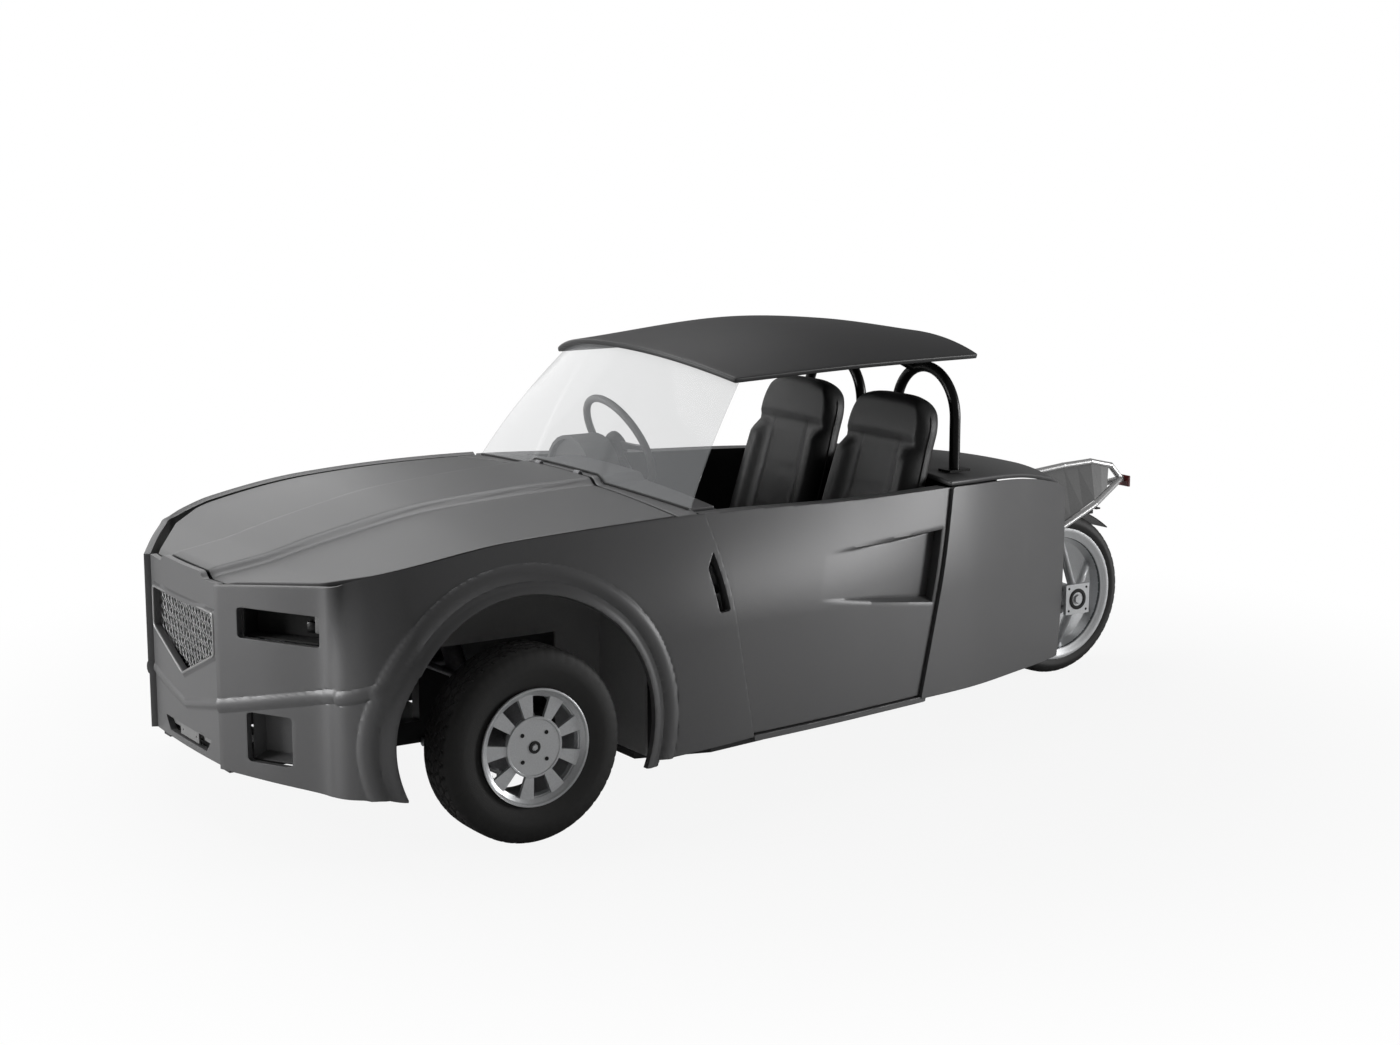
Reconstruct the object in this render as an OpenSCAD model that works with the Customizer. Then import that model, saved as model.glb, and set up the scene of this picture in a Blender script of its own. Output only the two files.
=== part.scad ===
// Three-wheeled open-sided two-seat car: two steered front wheels, one wide rear wheel.
// Millimetres, +X forward, +Y to the car's left, +Z up, ground at Z = 0.

/* [Overall] */
// Distance from the front axle to the rear axle
wheelbase = 2705; // [2250:10:3300]
// Distance between the centres of the two front tyres
front_track = 1600; // [1560:10:1700]
// Distance from the front axle forward to the face of the nose
nose_reach = 735; // [680:5:900]
// Distance from the rear axle back to the tip of the tail lamp
tail_reach = 418; // [380:2:520]

/* [Body] */
// Half width of the body over the front arches
hip_half = 865; // [850:5:900]
// Half width along the shoulder crease above the front arches
shoulder_half = 765; // [720:5:800]
// Half width of the body where it ends beside the rear wheel
tail_half = 182; // [178:2:220]
// Height of the shoulder crease at the screen
shoulder_top = 905; // [860:5:980]
// Height of the shoulder crease at the front corner
corner_top = 797; // [760:5:830]
// Height of the nose at its outer seam
nose_top = 763; // [730:5:800]
// Height of the body where it ends over the rear wheel
tail_top = 738; // [700:5:800]
// Height of the lower edge of the body sides
skirt_height = 165; // [130:5:190]
// Thickness of the outer body panels
panel_t = 20; // [12:1:30]
// Thickness of the doors
door_t = 60; // [45:1:75]
// Gap round the doors and the bonnet
shut_gap = 9; // [8:0.5:14]
// Radius of the front arch openings
arch_r = 410; // [400:5:440]
// Height of the centre of the front arch openings
arch_z = 330; // [300:5:350]
// Height of the roof at its highest point
roof_top = 1421; // [1380:5:1500]
// Thickness of the roof shell
roof_t = 24; // [12:1:40]
// Thickness of the windscreen
screen_t = 6; // [4:1:10]
// How far the raised middle of the bonnet stands up
bulge_h = 22; // [10:1:35]

/* [Cabin] */
// Distance of each seat's middle from the car's middle
seat_y = 270; // [250:5:300]
// Width of each seat
seat_w = 450; // [380:5:480]
// Height of the top of the seat backs
seat_top = 1170; // [1080:5:1220]
// Outside diameter of the steering wheel
steering_wheel_d = 380; // [320:5:400]
// Height of the tops of the roll hoops
hoop_top = 1262; // [1200:2:1262]
// Diameter of the roll hoop tube
hoop_tube_d = 38; // [30:1:45]

/* [Wheels] */
// Outside diameter of the front tyres
front_tyre_d = 592; // [560:2:620]
// Width of the front tyres
front_tyre_w = 170; // [140:2:190]
// Diameter of the front rims where the tyre seats
front_rim_d = 330; // [320:2:360]
// Outside diameter of the rear tyre
rear_tyre_d = 618; // [580:2:640]
// Width of the rear tyre
rear_tyre_w = 206; // [180:2:220]
// Diameter of the rear rim where the tyre seats
rear_rim_d = 466; // [440:2:490]
// Radius of the front stub axles
stub_r = 20; // [16:0.5:26]
// Radius of the rear axle
rear_axle_r = 24; // [18:0.5:30]
// Radial clearance of turning pins and axles in their bores
run_fit = 0.06; // [0.02:0.01:0.1]

/* [Hidden] */
$fn = 48;

// The car is drawn with its front axle at X = 0 and then moved so that nose and tail
// lie equally far from the origin.
origin_shift = (wheelbase + tail_reach - nose_reach) / 2;
seat_gap = 0.4;            // gap between fixed pieces that are bolted together
eps = 1;                   // how far a cutting shape passes the surface it cuts

// ---- stations along the car ----
corner_x = nose_reach - 210;
scuttle_x = -585;          // rear edge of the bonnet, and its hinge line
door_front_x = -675;       // door edge at the shoulder
door_rake = 140;           // how far the front edge of the door runs back at its foot
rear_bay = 935;            // from the rear edge of the door to the rear axle
door_rear_x = -wheelbase + rear_bay;
door_rear_rake = 200;      // how far the rear edge of the door runs forward at its foot
tail_x = -wheelbase + 76;  // rear end of the body at the top
tail_rake = 50;            // how far the body's end runs forward at its foot
door_mid_x = mix(door_front_x, door_rear_x, 0.57);
quarter_x = tail_x + 350;
seam_y = 280;              // seam between the nose panel and each fender
flare_h = 340;             // height below the shoulder at which the side is widest
tyre_y = front_track / 2;
front_r = front_tyre_d / 2;
rear_r = rear_tyre_d / 2;
rear_x = -wheelbase;

// ---- curve helpers ----
function mix(a, b, t) = a + (b - a) * t;
function piece(pts, x, i = 0) =
  (i >= len(pts) - 2 || x < pts[i + 1][0]) ? i : piece(pts, x, i + 1);
function grade(pts, i) =
  let(a = max(i - 1, 0), b = min(i + 1, len(pts) - 1))
  (pts[b][1] - pts[a][1]) / (pts[b][0] - pts[a][0]);
// Smooth curve through points whose first numbers rise
function curve(pts, x) =
  let(i = piece(pts, x), h = pts[i + 1][0] - pts[i][0], t = (x - pts[i][0]) / h)
  pts[i][1] * (2 * t * t * t - 3 * t * t + 1)
  + grade(pts, i) * h * (t * t * t - 2 * t * t + t)
  + pts[i + 1][1] * (3 * t * t - 2 * t * t * t)
  + grade(pts, i + 1) * h * (t * t * t - t * t);

// ---- the body's side ----
function shoulder_y(x) = curve([
  [tail_x, tail_half], [quarter_x, 360], [door_rear_x - 60, 565], [door_mid_x, 672],
  [-660, shoulder_half - 18], [-300, shoulder_half + 4], [0, shoulder_half - 4],
  [350, shoulder_half - 33], [corner_x, shoulder_half - 118]], x);
function belly_y(x) = curve([
  [tail_x, tail_half + 2], [quarter_x, 375], [door_rear_x - 60, 590],
  [door_mid_x, hip_half - 135], [-750, hip_half - 35], [-450, hip_half - 5],
  [0, hip_half], [350, hip_half - 32], [corner_x, hip_half - 120]], x);
function shoulder_z(x) = curve([
  [tail_x, tail_top], [tail_x + 90, tail_top + 34], [quarter_x, 825],
  [door_rear_x - 60, 866], [door_mid_x, 880], [-660, shoulder_top],
  [0, shoulder_top - 20], [350, corner_top + 38], [corner_x, corner_top]], x);
function skirt_z(x) = curve([
  [tail_x, skirt_height - 72], [door_rear_x, skirt_height - 25], [-800, skirt_height],
  [0, skirt_height + 15], [corner_x, skirt_height + 15]], x);
function side_y(x, z) =
  shoulder_y(x) + (belly_y(x) - shoulder_y(x))
  * sin(90 * min(1, max(0, shoulder_z(x) - z) / flare_h));
// Point of the side, k = 0 at the shoulder and 1 at the skirt, t deep in the panel
function side_pt(x, k, t = 0) =
  let(z = mix(shoulder_z(x), skirt_z(x), k)) [x, side_y(x, z) - t, z];
function door_front(k) = door_front_x - door_rake * k;
function door_rear(k) = door_rear_x + door_rear_rake * k;
function tail_end(k) = tail_x + tail_rake * pow(k, 3);

// ---- the top of the front: bonnet, scuttle ----
function edge_half(x) = x < corner_x ? shoulder_y(x)
  : mix(shoulder_y(corner_x), seam_y, (x - corner_x) / (nose_reach - corner_x));
function edge_z(x) = x < corner_x ? shoulder_z(x)
  : mix(corner_top, nose_top, (x - corner_x) / (nose_reach - corner_x));
function crown(x) = curve([[-800, 42], [-600, 36], [0, 20], [500, -4], [900, -4]], x);
function bulge_half(x) = mix(150, 215, (nose_reach - x) / (nose_reach - scuttle_x));
bulge_step = 28;
function top_z(x, y) =
  edge_z(x) + crown(x) * (1 - pow(y / edge_half(x), 2))
  + bulge_h * min(1, max(0, (bulge_half(x) + bulge_step - abs(y)) / bulge_step));

// Closed sheet between two grids of points; (row step) x (column step) points outward
module slab(outer, inner) {
  nu = len(outer);
  nv = len(outer[0]);
  n = nu * nv;
  function at(s, i, j) = s * n + i * nv + j;
  function quad(a, b, c, d) = [[a, b, c], [a, c, d]];
  polyhedron(
    points = concat([for (r = outer) each r], [for (r = inner) each r]),
    faces = concat(
      [for (i = [0:nu - 2], j = [0:nv - 2])
        each quad(at(0, i, j), at(0, i, j + 1), at(0, i + 1, j + 1), at(0, i + 1, j))],
      [for (i = [0:nu - 2], j = [0:nv - 2])
        each quad(at(1, i, j), at(1, i + 1, j), at(1, i + 1, j + 1), at(1, i, j + 1))],
      [for (i = [0:nu - 2])
        each quad(at(0, i, 0), at(0, i + 1, 0), at(1, i + 1, 0), at(1, i, 0))],
      [for (i = [0:nu - 2])
        each quad(at(0, i, nv - 1), at(1, i, nv - 1), at(1, i + 1, nv - 1), at(0, i + 1, nv - 1))],
      [for (j = [0:nv - 2])
        each quad(at(0, 0, j), at(1, 0, j), at(1, 0, j + 1), at(0, 0, j + 1))],
      [for (j = [0:nv - 2])
        each quad(at(0, nu - 1, j), at(0, nu - 1, j + 1), at(1, nu - 1, j + 1), at(1, nu - 1, j))]));
}
module car() translate([origin_shift, 0, 0]) children();
module right_side() mirror([0, 1, 0]) children();
module tube(a, b, r) {
  d = b - a;
  reach = norm(d);
  translate(a)
    rotate([0, acos(d[2] / reach), atan2(d[1], d[0])])
      cylinder(h = reach, r = r);
}
module rod_y(x, z, y0, y1, r) translate([x, y0, z]) rotate([-90, 0, 0]) cylinder(h = y1 - y0, r = r);
module block(x0, x1, y0, y1, z0, z1) translate([x0, y0, z0]) cube([x1 - x0, y1 - y0, z1 - z0]);

// ================= floor and frame =================
floor_z = 150;
floor_t = 22;
floor_top = floor_z + floor_t;
footwell_half = 500;       // inside half width between the wheel wells
well_t = 8;
well_back_x = -440;        // rear wall of the wheel wells
well_front_x = 440;
firewall_x = -345;
bulkhead_x = door_rear_x - 105;
rail_y = 245;
rail_half = 25;
rail_z = [floor_top + 10, floor_top + 80];
function floor_half(x) = side_y(x, floor_top) - door_t - 12;
module floor_pan() color("dimgray") car() {
  stations = [-690, -900, -1150, -1400, door_rear_x + 120, bulkhead_x - 40];
  side = concat([[well_back_x - 10, footwell_half + 200]],
    [for (x = stations) [x, floor_half(x)]], [[rear_x + 370, 225]]);
  translate([0, 0, floor_z]) linear_extrude(floor_t) polygon(concat(
    [[firewall_x + 20, footwell_half - 2]], [[well_back_x - 10, footwell_half - 2]], side,
    [for (i = [len(side) - 1:-1:0]) [side[i][0], -side[i][1]]],
    [[well_back_x - 10, -footwell_half + 2]], [[firewall_x + 20, -footwell_half + 2]]));
}

rack_x = -150;             // steering rack, behind the front axle
rack_z = 232;
rack_r = 26;
rack_half = 300;           // half length of the rack housing
rack_bar_r = 11;
tow_eye_w = 16;
tow_eye_r = 9;
pivot_x = rear_x + 420;    // rear swingarm pivot
pivot_z = 345;
pivot_r = 32;
rail_rear_x = firewall_x + 60;   // rear end of the rails, on the rear cross member
rail_in = rail_y - rail_half - seat_gap;   // half the free width between the rails
// Rail with the tower that carries the upper arms and the damper, the outrigger to the
// fender ahead of the wheel well and the saddle for the rack housing
module chassis_rail() difference() {
  union() {
    block(rail_rear_x + seat_gap, nose_reach - panel_t - 7.8, rail_y - rail_half,
      rail_y + rail_half, rail_z[0], rail_z[1]);
    block(-75, 75, rail_y - rail_half, rail_y + rail_half, rail_z[0], 640);
    block(well_front_x + 12, well_front_x + 42, rail_y, outrigger_y, rail_z[0], rail_z[0] + 30);
  }
  rod_y(rack_x, rack_z, 0, rack_half, rack_r + seat_gap);
}
module left_rail() color([0.12, 0.12, 0.13]) car() chassis_rail();
module right_rail() color([0.12, 0.12, 0.13]) car() right_side() chassis_rail();
// Front cross member with the towing eye under it
module front_cross_member() color([0.12, 0.12, 0.13]) car() difference() {
  union() {
    block(540, 580, -rail_in, rail_in, rail_z[0], rail_z[1]);
    block(548, 572, -tow_eye_w / 2, tow_eye_w / 2, rail_z[0] - 44, rail_z[0]);
  }
  rod_y(560, rail_z[0] - 24, -tow_eye_w, tow_eye_w, tow_eye_r);
}
module axle_cross_member() color([0.12, 0.12, 0.13]) car()
  block(-75, 75, -rail_in, rail_in, rail_z[0], rail_z[0] + 30);
// Rear cross member, which stands on the floor in front of the firewall
module rear_cross_member() color([0.12, 0.12, 0.13]) car()
  block(firewall_x + 12.4, rail_rear_x, -footwell_half + 10, footwell_half - 10,
    floor_top + seat_gap, rail_z[1]);
module rack_housing() color([0.12, 0.12, 0.13]) car() difference() {
  rod_y(rack_x, rack_z, -rack_half, rack_half, rack_r);
  rod_y(rack_x, rack_z, -rack_half - eps, rack_half + eps, rack_bar_r + 0.5);
}
outrigger_y = side_y(well_front_x + 27, rail_z[0] + 15) - panel_t - 41;

// Firewall between the wheel wells, with the floor's front edge at its foot
firewall_t = 12;
module firewall() color([0.12, 0.12, 0.13]) car()
  difference() {
    block(firewall_x, firewall_x + firewall_t, -footwell_half + seat_gap,
      footwell_half - seat_gap, floor_top, 845);
    // Hole for the steering shaft
    translate([firewall_x, -seat_y, column_z(firewall_x)]) rotate([0, 90 + column_tilt, 0])
      cylinder(h = 160, r = 16, center = true);
  }

// ================= nose =================
grille_half = 243;
function grille(grow) = [
  [-grille_half - grow, 665 + grow], [grille_half + grow, 665 + grow],
  [grille_half + grow, 545 - grow * 0.7], [0, 445 - grow * 1.1],
  [-grille_half - grow, 545 - grow * 0.7]];
nose_foot = 205;
function nose_x(y) = nose_reach - 8 * pow(y / seam_y, 2);
module across_x(x0, x1) translate([x0, 0, 0]) rotate([90, 0, 90]) linear_extrude(x1 - x0) children();
module nose_panel() color([0.4, 0.4, 0.4]) car() difference() {
  ys = [-seam_y + 2, -bulge_half(nose_reach) - bulge_step, -bulge_half(nose_reach), 0,
    bulge_half(nose_reach), bulge_half(nose_reach) + bulge_step, seam_y - 2];
  slab(
    [for (y = ys) [for (k = [0, 1]) [nose_x(y), y, mix(nose_foot, top_z(nose_reach, y), k)]]],
    [for (y = ys) [for (k = [0, 1])
      [nose_x(y) - panel_t, y, mix(nose_foot, top_z(nose_reach, y), k)]]]);
  across_x(nose_reach - 80, nose_reach + 20) polygon(grille(0));
  // Lower air opening
  across_x(nose_reach - 80, nose_reach + 20)
    polygon([[-150, 225], [150, 225], [190, 268], [-190, 268]]);
}
mesh_t = 4;
mesh_back = panel_t + 11.5;  // how far the grille mesh sits behind the face
module grille_mesh() color([0.55, 0.55, 0.55]) car() {
  x = nose_reach - mesh_back;
  across_x(x, x + mesh_t) polygon(grille(12));
  // Frame round the mesh, up to the back of the nose panel
  across_x(x + mesh_t, nose_reach - panel_t - 7.2)
    difference() {
      polygon(grille(12));
      polygon(grille(0));
    }
}
plate_w = 150;
plate_h = 34;
plate_z = 247;
plate_bolt_y = 55;
module front_number_plate() color([0.75, 0.75, 0.75]) car() {
  difference() {
    block(nose_reach - 14, nose_reach - 10, -plate_w / 2, plate_w / 2,
      plate_z - plate_h / 2, plate_z + plate_h / 2);
    for (s = [-1, 1])
      translate([nose_reach - 16, s * plate_bolt_y, plate_z]) rotate([0, 90, 0])
        cylinder(h = 10, r = plate_bolt_r);
  }
  // Bracket behind the plate, across the back of the opening
  block(nose_reach - panel_t - 8.5, nose_reach - panel_t - 5.4, -212, 212, plate_z - 6, plate_z + 6);
  for (s = [-1, 1])
    block(nose_reach - panel_t - 7, nose_reach - 13, s * 25 - 8, s * 25 + 8, plate_z - 6, plate_z + 6);
}
plate_bolt_r = 3;

// ================= bonnet and scuttle =================
bonnet_t = 16;
bonnet_back = scuttle_x + 5;
hinge_z = top_z(scuttle_x, 0);
hinge_pin_r = 4;
hinge_r = 8;
hinge_ys = [-130, 130];    // where the two hinges sit
hinge_len = 34;
// The front edge runs at a slant, so its gap is measured along Y over a longer way
function bonnet_half(x) = edge_half(x)
  - (panel_t + shut_gap) * mix(1, 2.25, min(1, max(0, (x - corner_x + 110) / 110)));
function top_columns(x, w) =
  let(b = bulge_half(x), c = b + bulge_step)
  [-w, -mix(c, w, 0.66), -mix(c, w, 0.33), -c, -b, -b / 2, 0, b / 2, b, c,
   mix(c, w, 0.33), mix(c, w, 0.66), w];
function top_grid(xs, halves, drop) =
  [for (i = [0:len(xs) - 1])
    [for (y = top_columns(xs[i], halves[i])) [xs[i], y, top_z(xs[i], y) - drop]]];
module hinge_barrel(y0, y1) difference() {
  rod_y(scuttle_x, hinge_z, y0, y1, hinge_r);
  rod_y(scuttle_x, hinge_z, y0 - eps, y1 + eps, hinge_pin_r + run_fit);
}
module bonnet() color([0.42, 0.42, 0.42]) car() difference() {
  front = nose_reach - panel_t - 8 - shut_gap;
  xs = [bonnet_back, -400, -200, 0, 175, 350, mix(350, corner_x, 0.6), corner_x,
    mix(corner_x, front, 0.35), mix(corner_x, front, 0.7), front];
  halves = [for (x = xs) bonnet_half(x)];
  union() {
    difference() {
      slab(top_grid(xs, halves, 0), top_grid(xs, halves, bonnet_t));
      for (y = hinge_ys)
        block(bonnet_back - eps, bonnet_back + 9, y - hinge_len / 2 - 16, y + hinge_len / 2 + 16,
          hinge_z - 40, hinge_z + 40);
    }
    for (y = hinge_ys) {
      hinge_barrel(y - hinge_len / 2, y + hinge_len / 2);
      difference() {
        block(scuttle_x, bonnet_back + 12, y - hinge_len / 2, y + hinge_len / 2,
          hinge_z - 7, hinge_z - 1);
        rod_y(scuttle_x, hinge_z, y - hinge_len, y + hinge_len, hinge_pin_r + run_fit);
      }
    }
  }
}
scuttle_back = -770;
screen_foot_half = 690;
module scuttle() color([0.42, 0.42, 0.42]) car() {
  xs = [scuttle_back, -715, door_front_x + 2, door_front_x + 12, -625, scuttle_x - 5];
  halves = [for (x = xs) x < door_front_x + 5 ? shoulder_y(x) - door_t - 12
    : shoulder_y(x) - panel_t - seat_gap];
  difference() {
    slab(top_grid(xs, halves, 0), top_grid(xs, halves, bonnet_t));
    for (y = hinge_ys)
      block(scuttle_x - 20, scuttle_x, y - hinge_len / 2 - 2, y + hinge_len / 2 + 2,
        hinge_z - 20, hinge_z + 20);
  }
  // Hinge ears and their pins
  for (y = hinge_ys) {
    rod_y(scuttle_x, hinge_z, y - hinge_len / 2 - 12, y + hinge_len / 2 + 12, hinge_pin_r);
    for (s = [-1, 1]) {
      y0 = y + s * (hinge_len / 2 + 7);
      rod_y(scuttle_x, hinge_z, y0 - 5, y0 + 5, hinge_r);
      block(scuttle_x - 22, scuttle_x, y0 - 5, y0 + 5, hinge_z - 8, hinge_z - 1);
    }
  }
}

// ================= fenders =================
// Front face and corner of the fender: [x, y, top, heading, flare, foot]
seam_x = nose_reach - 8;
fender_front = [
  [seam_x, seam_y, nose_top, 0, 0, nose_foot],
  [mix(seam_x, corner_x, 0.45), 455, mix(nose_top, corner_top, 0.5), 31, 0, 192],
  [mix(seam_x, corner_x, 0.86), 600, corner_top - 4, 38, 0, 182],
  [corner_x, shoulder_y(corner_x) + 2, corner_top, 58, 12, 180],
  [corner_x - 32, shoulder_y(corner_x - 32), shoulder_z(corner_x - 32), 74, 52, 182],
  [corner_x - 85, shoulder_y(corner_x - 85), shoulder_z(corner_x - 85), 85, 84, 186]];
function front_pt(r, k, t) =
  let(z = mix(r[2], r[5], k), o = r[4] * sin(90 * min(1, (r[2] - z) / flare_h)) - t)
  [r[0] + cos(r[3]) * o, r[1] + sin(r[3]) * o, z];
fender_ks = [0, 0.05, 0.11, 0.18, 0.27, 0.38, 0.52, 0.68, 0.84, 1];
fender_us = [0, 0.12, 0.27, 0.42, 0.57, 0.72, 0.86, 1];
function fender_grid(t) = [
  each [for (r = fender_front) [for (k = fender_ks) front_pt(r, k, t)]],
  each [for (u = fender_us) [for (k = fender_ks)
    side_pt(mix(corner_x - 175, door_front(k) + shut_gap, u), k, t)]]];
// Lamp and air pockets of the front face, seen square to it
pocket_heading = 31;
// along runs from the seam to the corner; the block lies from near to far behind the face
module on_front_face(along, z, w, h, far, near) {
  a = [seam_x - sin(pocket_heading) * along, seam_y + cos(pocket_heading) * along, z];
  translate(a) rotate([0, 0, pocket_heading]) translate([-far, -w / 2, -h / 2])
    cube([far - near, w, h]);
}
lamp_along = 235;
lamp_z = 662;
lamp_w = 300;
lamp_h = 92;
duct_along = 190;
duct_z = 320;
duct_w = 165;
duct_h = 150;
pocket_t = 5;
pocket_deep = 82;
module left_fender_shape() {
  difference() {
    slab(fender_grid(0), fender_grid(panel_t));
    on_front_face(lamp_along, lamp_z, lamp_w, lamp_h, 60, -60);
    on_front_face(duct_along, duct_z, duct_w, duct_h, 60, -60);
    rod_y(0, arch_z, 0, 1200, arch_r);
    side_vent();
  }
}
// Open boxes behind the two pockets
module left_lamp_pod_shape() {
  // Each box starts just behind the panel: along, height, width, height of box, front edge
  for (p = [[lamp_along, lamp_z, lamp_w, lamp_h, panel_t * 0.98 - 5.2],
    [duct_along, duct_z, duct_w, duct_h, panel_t - 7]])
    difference() {
      on_front_face(p[0], p[1], p[2] + 2 * pocket_t, p[3] + 2 * pocket_t, pocket_deep, p[4]);
      on_front_face(p[0], p[1], p[2], p[3], pocket_deep - pocket_t, p[4] - eps);
    }
}
module left_lamp_pod() color([0.1, 0.1, 0.1]) car() left_lamp_pod_shape();
module right_lamp_pod() color([0.1, 0.1, 0.1]) car() right_side() left_lamp_pod_shape();
// Slot behind the front wheel, in the fender beside the door
module side_vent() translate([0, 950, 0]) rotate([90, 0, 0]) linear_extrude(300)
  polygon([[-668, 796], [-634, 748], [-660, 614], [-706, 616], [-683, 720]]);
module left_fender() color([0.36, 0.36, 0.36]) car() left_fender_shape();
module right_fender() color([0.36, 0.36, 0.36]) car() right_side() left_fender_shape();

// Inner wall and roof of the wheel well
well_top = 775;
module left_wheel_well_shape() difference() {
  union() {
    block(well_back_x, well_front_x, footwell_half, footwell_half + well_t, 180, well_top);
    block(well_back_x - well_t, well_back_x, footwell_half, 780, 180, well_top);
    block(well_front_x, well_front_x + well_t, footwell_half, 650, 205, 700);
    block(well_back_x, 300, footwell_half, 720, well_top - well_t, well_top);
  }
  // Openings for the axle parts, steering and damper
  translate([0, footwell_half - eps, 140]) cube([560, 2 * (well_t + eps), 800], center = true);
}
module left_wheel_well() color([0.1, 0.1, 0.1]) car() left_wheel_well_shape();
module right_wheel_well() color([0.1, 0.1, 0.1]) car() right_side() left_wheel_well_shape();

// ================= doors and rear body =================
side_ks = [0, 0.06, 0.14, 0.24, 0.36, 0.52, 0.72, 0.93];
door_us = [0, 0.14, 0.28, 0.43, 0.58, 0.72, 0.86, 1];
function door_pt(u, k, t) = side_pt(mix(door_front(k), door_rear(k), u), k, t);
function door_grid(t) = [for (u = door_us) [for (k = side_ks) door_pt(u, k, t)]];
// Door hinge line, just inside the skin and a little behind the door's front edge
hinge_back = 40;
hinge_foot = [door_front(1) - hinge_back,
  side_y(door_front(1) - hinge_back, skirt_height) - 11, skirt_height];
hinge_head = [door_front(0) - hinge_back, hinge_foot[1] + 8, shoulder_top];
hinge_dir = (hinge_head - hinge_foot) / norm(hinge_head - hinge_foot);
pintle_r = 6;
pintle_fit = 0.2;          // radial clearance of the door pin in its bore
module on_door_hinge() translate(hinge_foot)
  rotate([0, acos(hinge_dir[2]), atan2(hinge_dir[1], hinge_dir[0])]) children();
scoop_len = 600;
scoop_deep = 45;
scoop_edge = 13;           // door left behind the scoop
module scoop_cut() {
  hi = [0.17, 742];        // upper and lower rear corners: depth down the door, height
  lo = [0.5, 495];
  x1 = door_rear(hi[0]) + scoop_edge;
  x0 = x1 + scoop_len;
  intersection() {
    translate([0, 0, 400]) linear_extrude(500)
      polygon([[x0 + 40, side_y(x0 + 40, 660) + 1], [x1, side_y(x1, 660) - scoop_deep],
        [x1, hip_half + 60], [x0 + 40, hip_half + 60]]);
    translate([0, hip_half + 100, 0]) rotate([90, 0, 0]) linear_extrude(500)
      polygon([[x0 + 40, 585], [x0 - 15, 735], [x1, hi[1]], [door_rear(lo[0]) + scoop_edge, lo[1]]]);
  }
}
module left_door_shape() difference() {
  slab(door_grid(0), door_grid(door_t));
  scoop_cut();
  // Bore for the hinge pin
  on_door_hinge() cylinder(h = 130, r = pintle_r + pintle_fit);
}
module left_door() color([0.45, 0.45, 0.45]) car() left_door_shape();
module right_door() color([0.45, 0.45, 0.45]) car() right_side() left_door_shape();

rear_us = [0, 0.16, 0.32, 0.48, 0.64, 0.78, 0.9, 1];
rear_ks = [0, 0.08, 0.18, 0.3, 0.5, 0.75, 0.95, 1];
function rear_side_grid(t) = [for (u = rear_us) [for (k = rear_ks)
  side_pt(mix(door_rear(k) - shut_gap, tail_end(k), u), k, t)]];
sill_ks = [0.95, 1];
sill_us = [0, 0.2, 0.4, 0.6, 0.8, 1];
function sill_grid(t) = [for (u = sill_us) [for (k = sill_ks)
  side_pt(mix(door_front(k) + shut_gap - 0.6, door_rear(k) - shut_gap - 20, u), k, t)]];
module left_rear_side_shape() {
  slab(rear_side_grid(0), rear_side_grid(panel_t));
  slab(sill_grid(0), sill_grid(door_t + 10));
  // Hinge pin that stands up from the sill into the door
  on_door_hinge() translate([0, 0, 15]) cylinder(h = 100, r = pintle_r);
}
module left_rear_side() color([0.5, 0.5, 0.5]) car() left_rear_side_shape();
module right_rear_side() color([0.5, 0.5, 0.5]) car() right_side() left_rear_side_shape();

deck_t = 18;
deck_crown = 30;
module rear_deck() color([0.5, 0.5, 0.5]) car() {
  front = door_rear_x - 22;
  // The same stations as the sides below, so that the edges lie along each other
  xs = concat([for (i = [len(rear_us) - 1:-1:1]) mix(door_rear(0) - shut_gap, tail_end(0), rear_us[i])],
    [front]);
  ss = [-1, -0.75, -0.5, -0.25, 0, 0.25, 0.5, 0.75, 1];
  slab([for (x = xs) [for (s = ss) deck_pt(x, s, deck_t)]],
    [for (x = xs) [for (s = ss) deck_pt(x, s, 0)]]);
}
function deck_pt(x, s, up) = [x, s * (shoulder_y(x) - 4),
  shoulder_z(x) + seat_gap + up + deck_crown * (1 - s * s)];
module rear_bulkhead() color([0.1, 0.1, 0.1]) car() {
  half = side_y(bulkhead_x, 600) - panel_t - 12;
  block(bulkhead_x, bulkhead_x + 14, -shoulder_y(bulkhead_x) + panel_t + 4,
    shoulder_y(bulkhead_x) - panel_t - 4, floor_top, shoulder_z(bulkhead_x) - 2);
}

// ================= windscreen and roof =================
screen_top_half = 565;
screen_foot_x = scuttle_x - 22;
// Columns of the screen, two of them on each edge of the bonnet's raised middle
screen_s1 = bulge_half(screen_foot_x) / screen_foot_half;
screen_s2 = (bulge_half(screen_foot_x) + bulge_step) / screen_foot_half;
screen_ss = [-1, -0.85, -0.68, -0.5, -screen_s2, -screen_s1, -0.15, 0, 0.15, screen_s1,
  screen_s2, 0.5, 0.68, 0.85, 1];
screen_ks = [0, 0.25, 0.5, 0.75, 1];
screen_corner_z = roof_top - 151;
screen_mid_z = roof_top - 78;
function screen_foot(s) = let(x = screen_foot_x - 52 * s * s, y = screen_foot_half * s)
  [x, y, top_z(x, y) + 2 * seat_gap];
function screen_head(s) = [-808 - 112 * s * s, screen_top_half * s,
  mix(screen_mid_z, screen_corner_z, s * s)];
function screen_pt(s, k, t) = let(a = screen_foot(s), b = screen_head(s))
  mix(a, b, k) + [14 * sin(180 * k) - t * 0.82, (6 * sin(180 * k) - t * 0.2) * s, -t * 0.5 * k];
module windscreen() color([0.85, 0.88, 0.9, 0.4]) car()
  slab([for (k = screen_ks) [for (s = screen_ss) screen_pt(s, k, 0)]],
    [for (k = screen_ks) [for (s = screen_ss) screen_pt(s, k, screen_t)]]);

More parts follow.
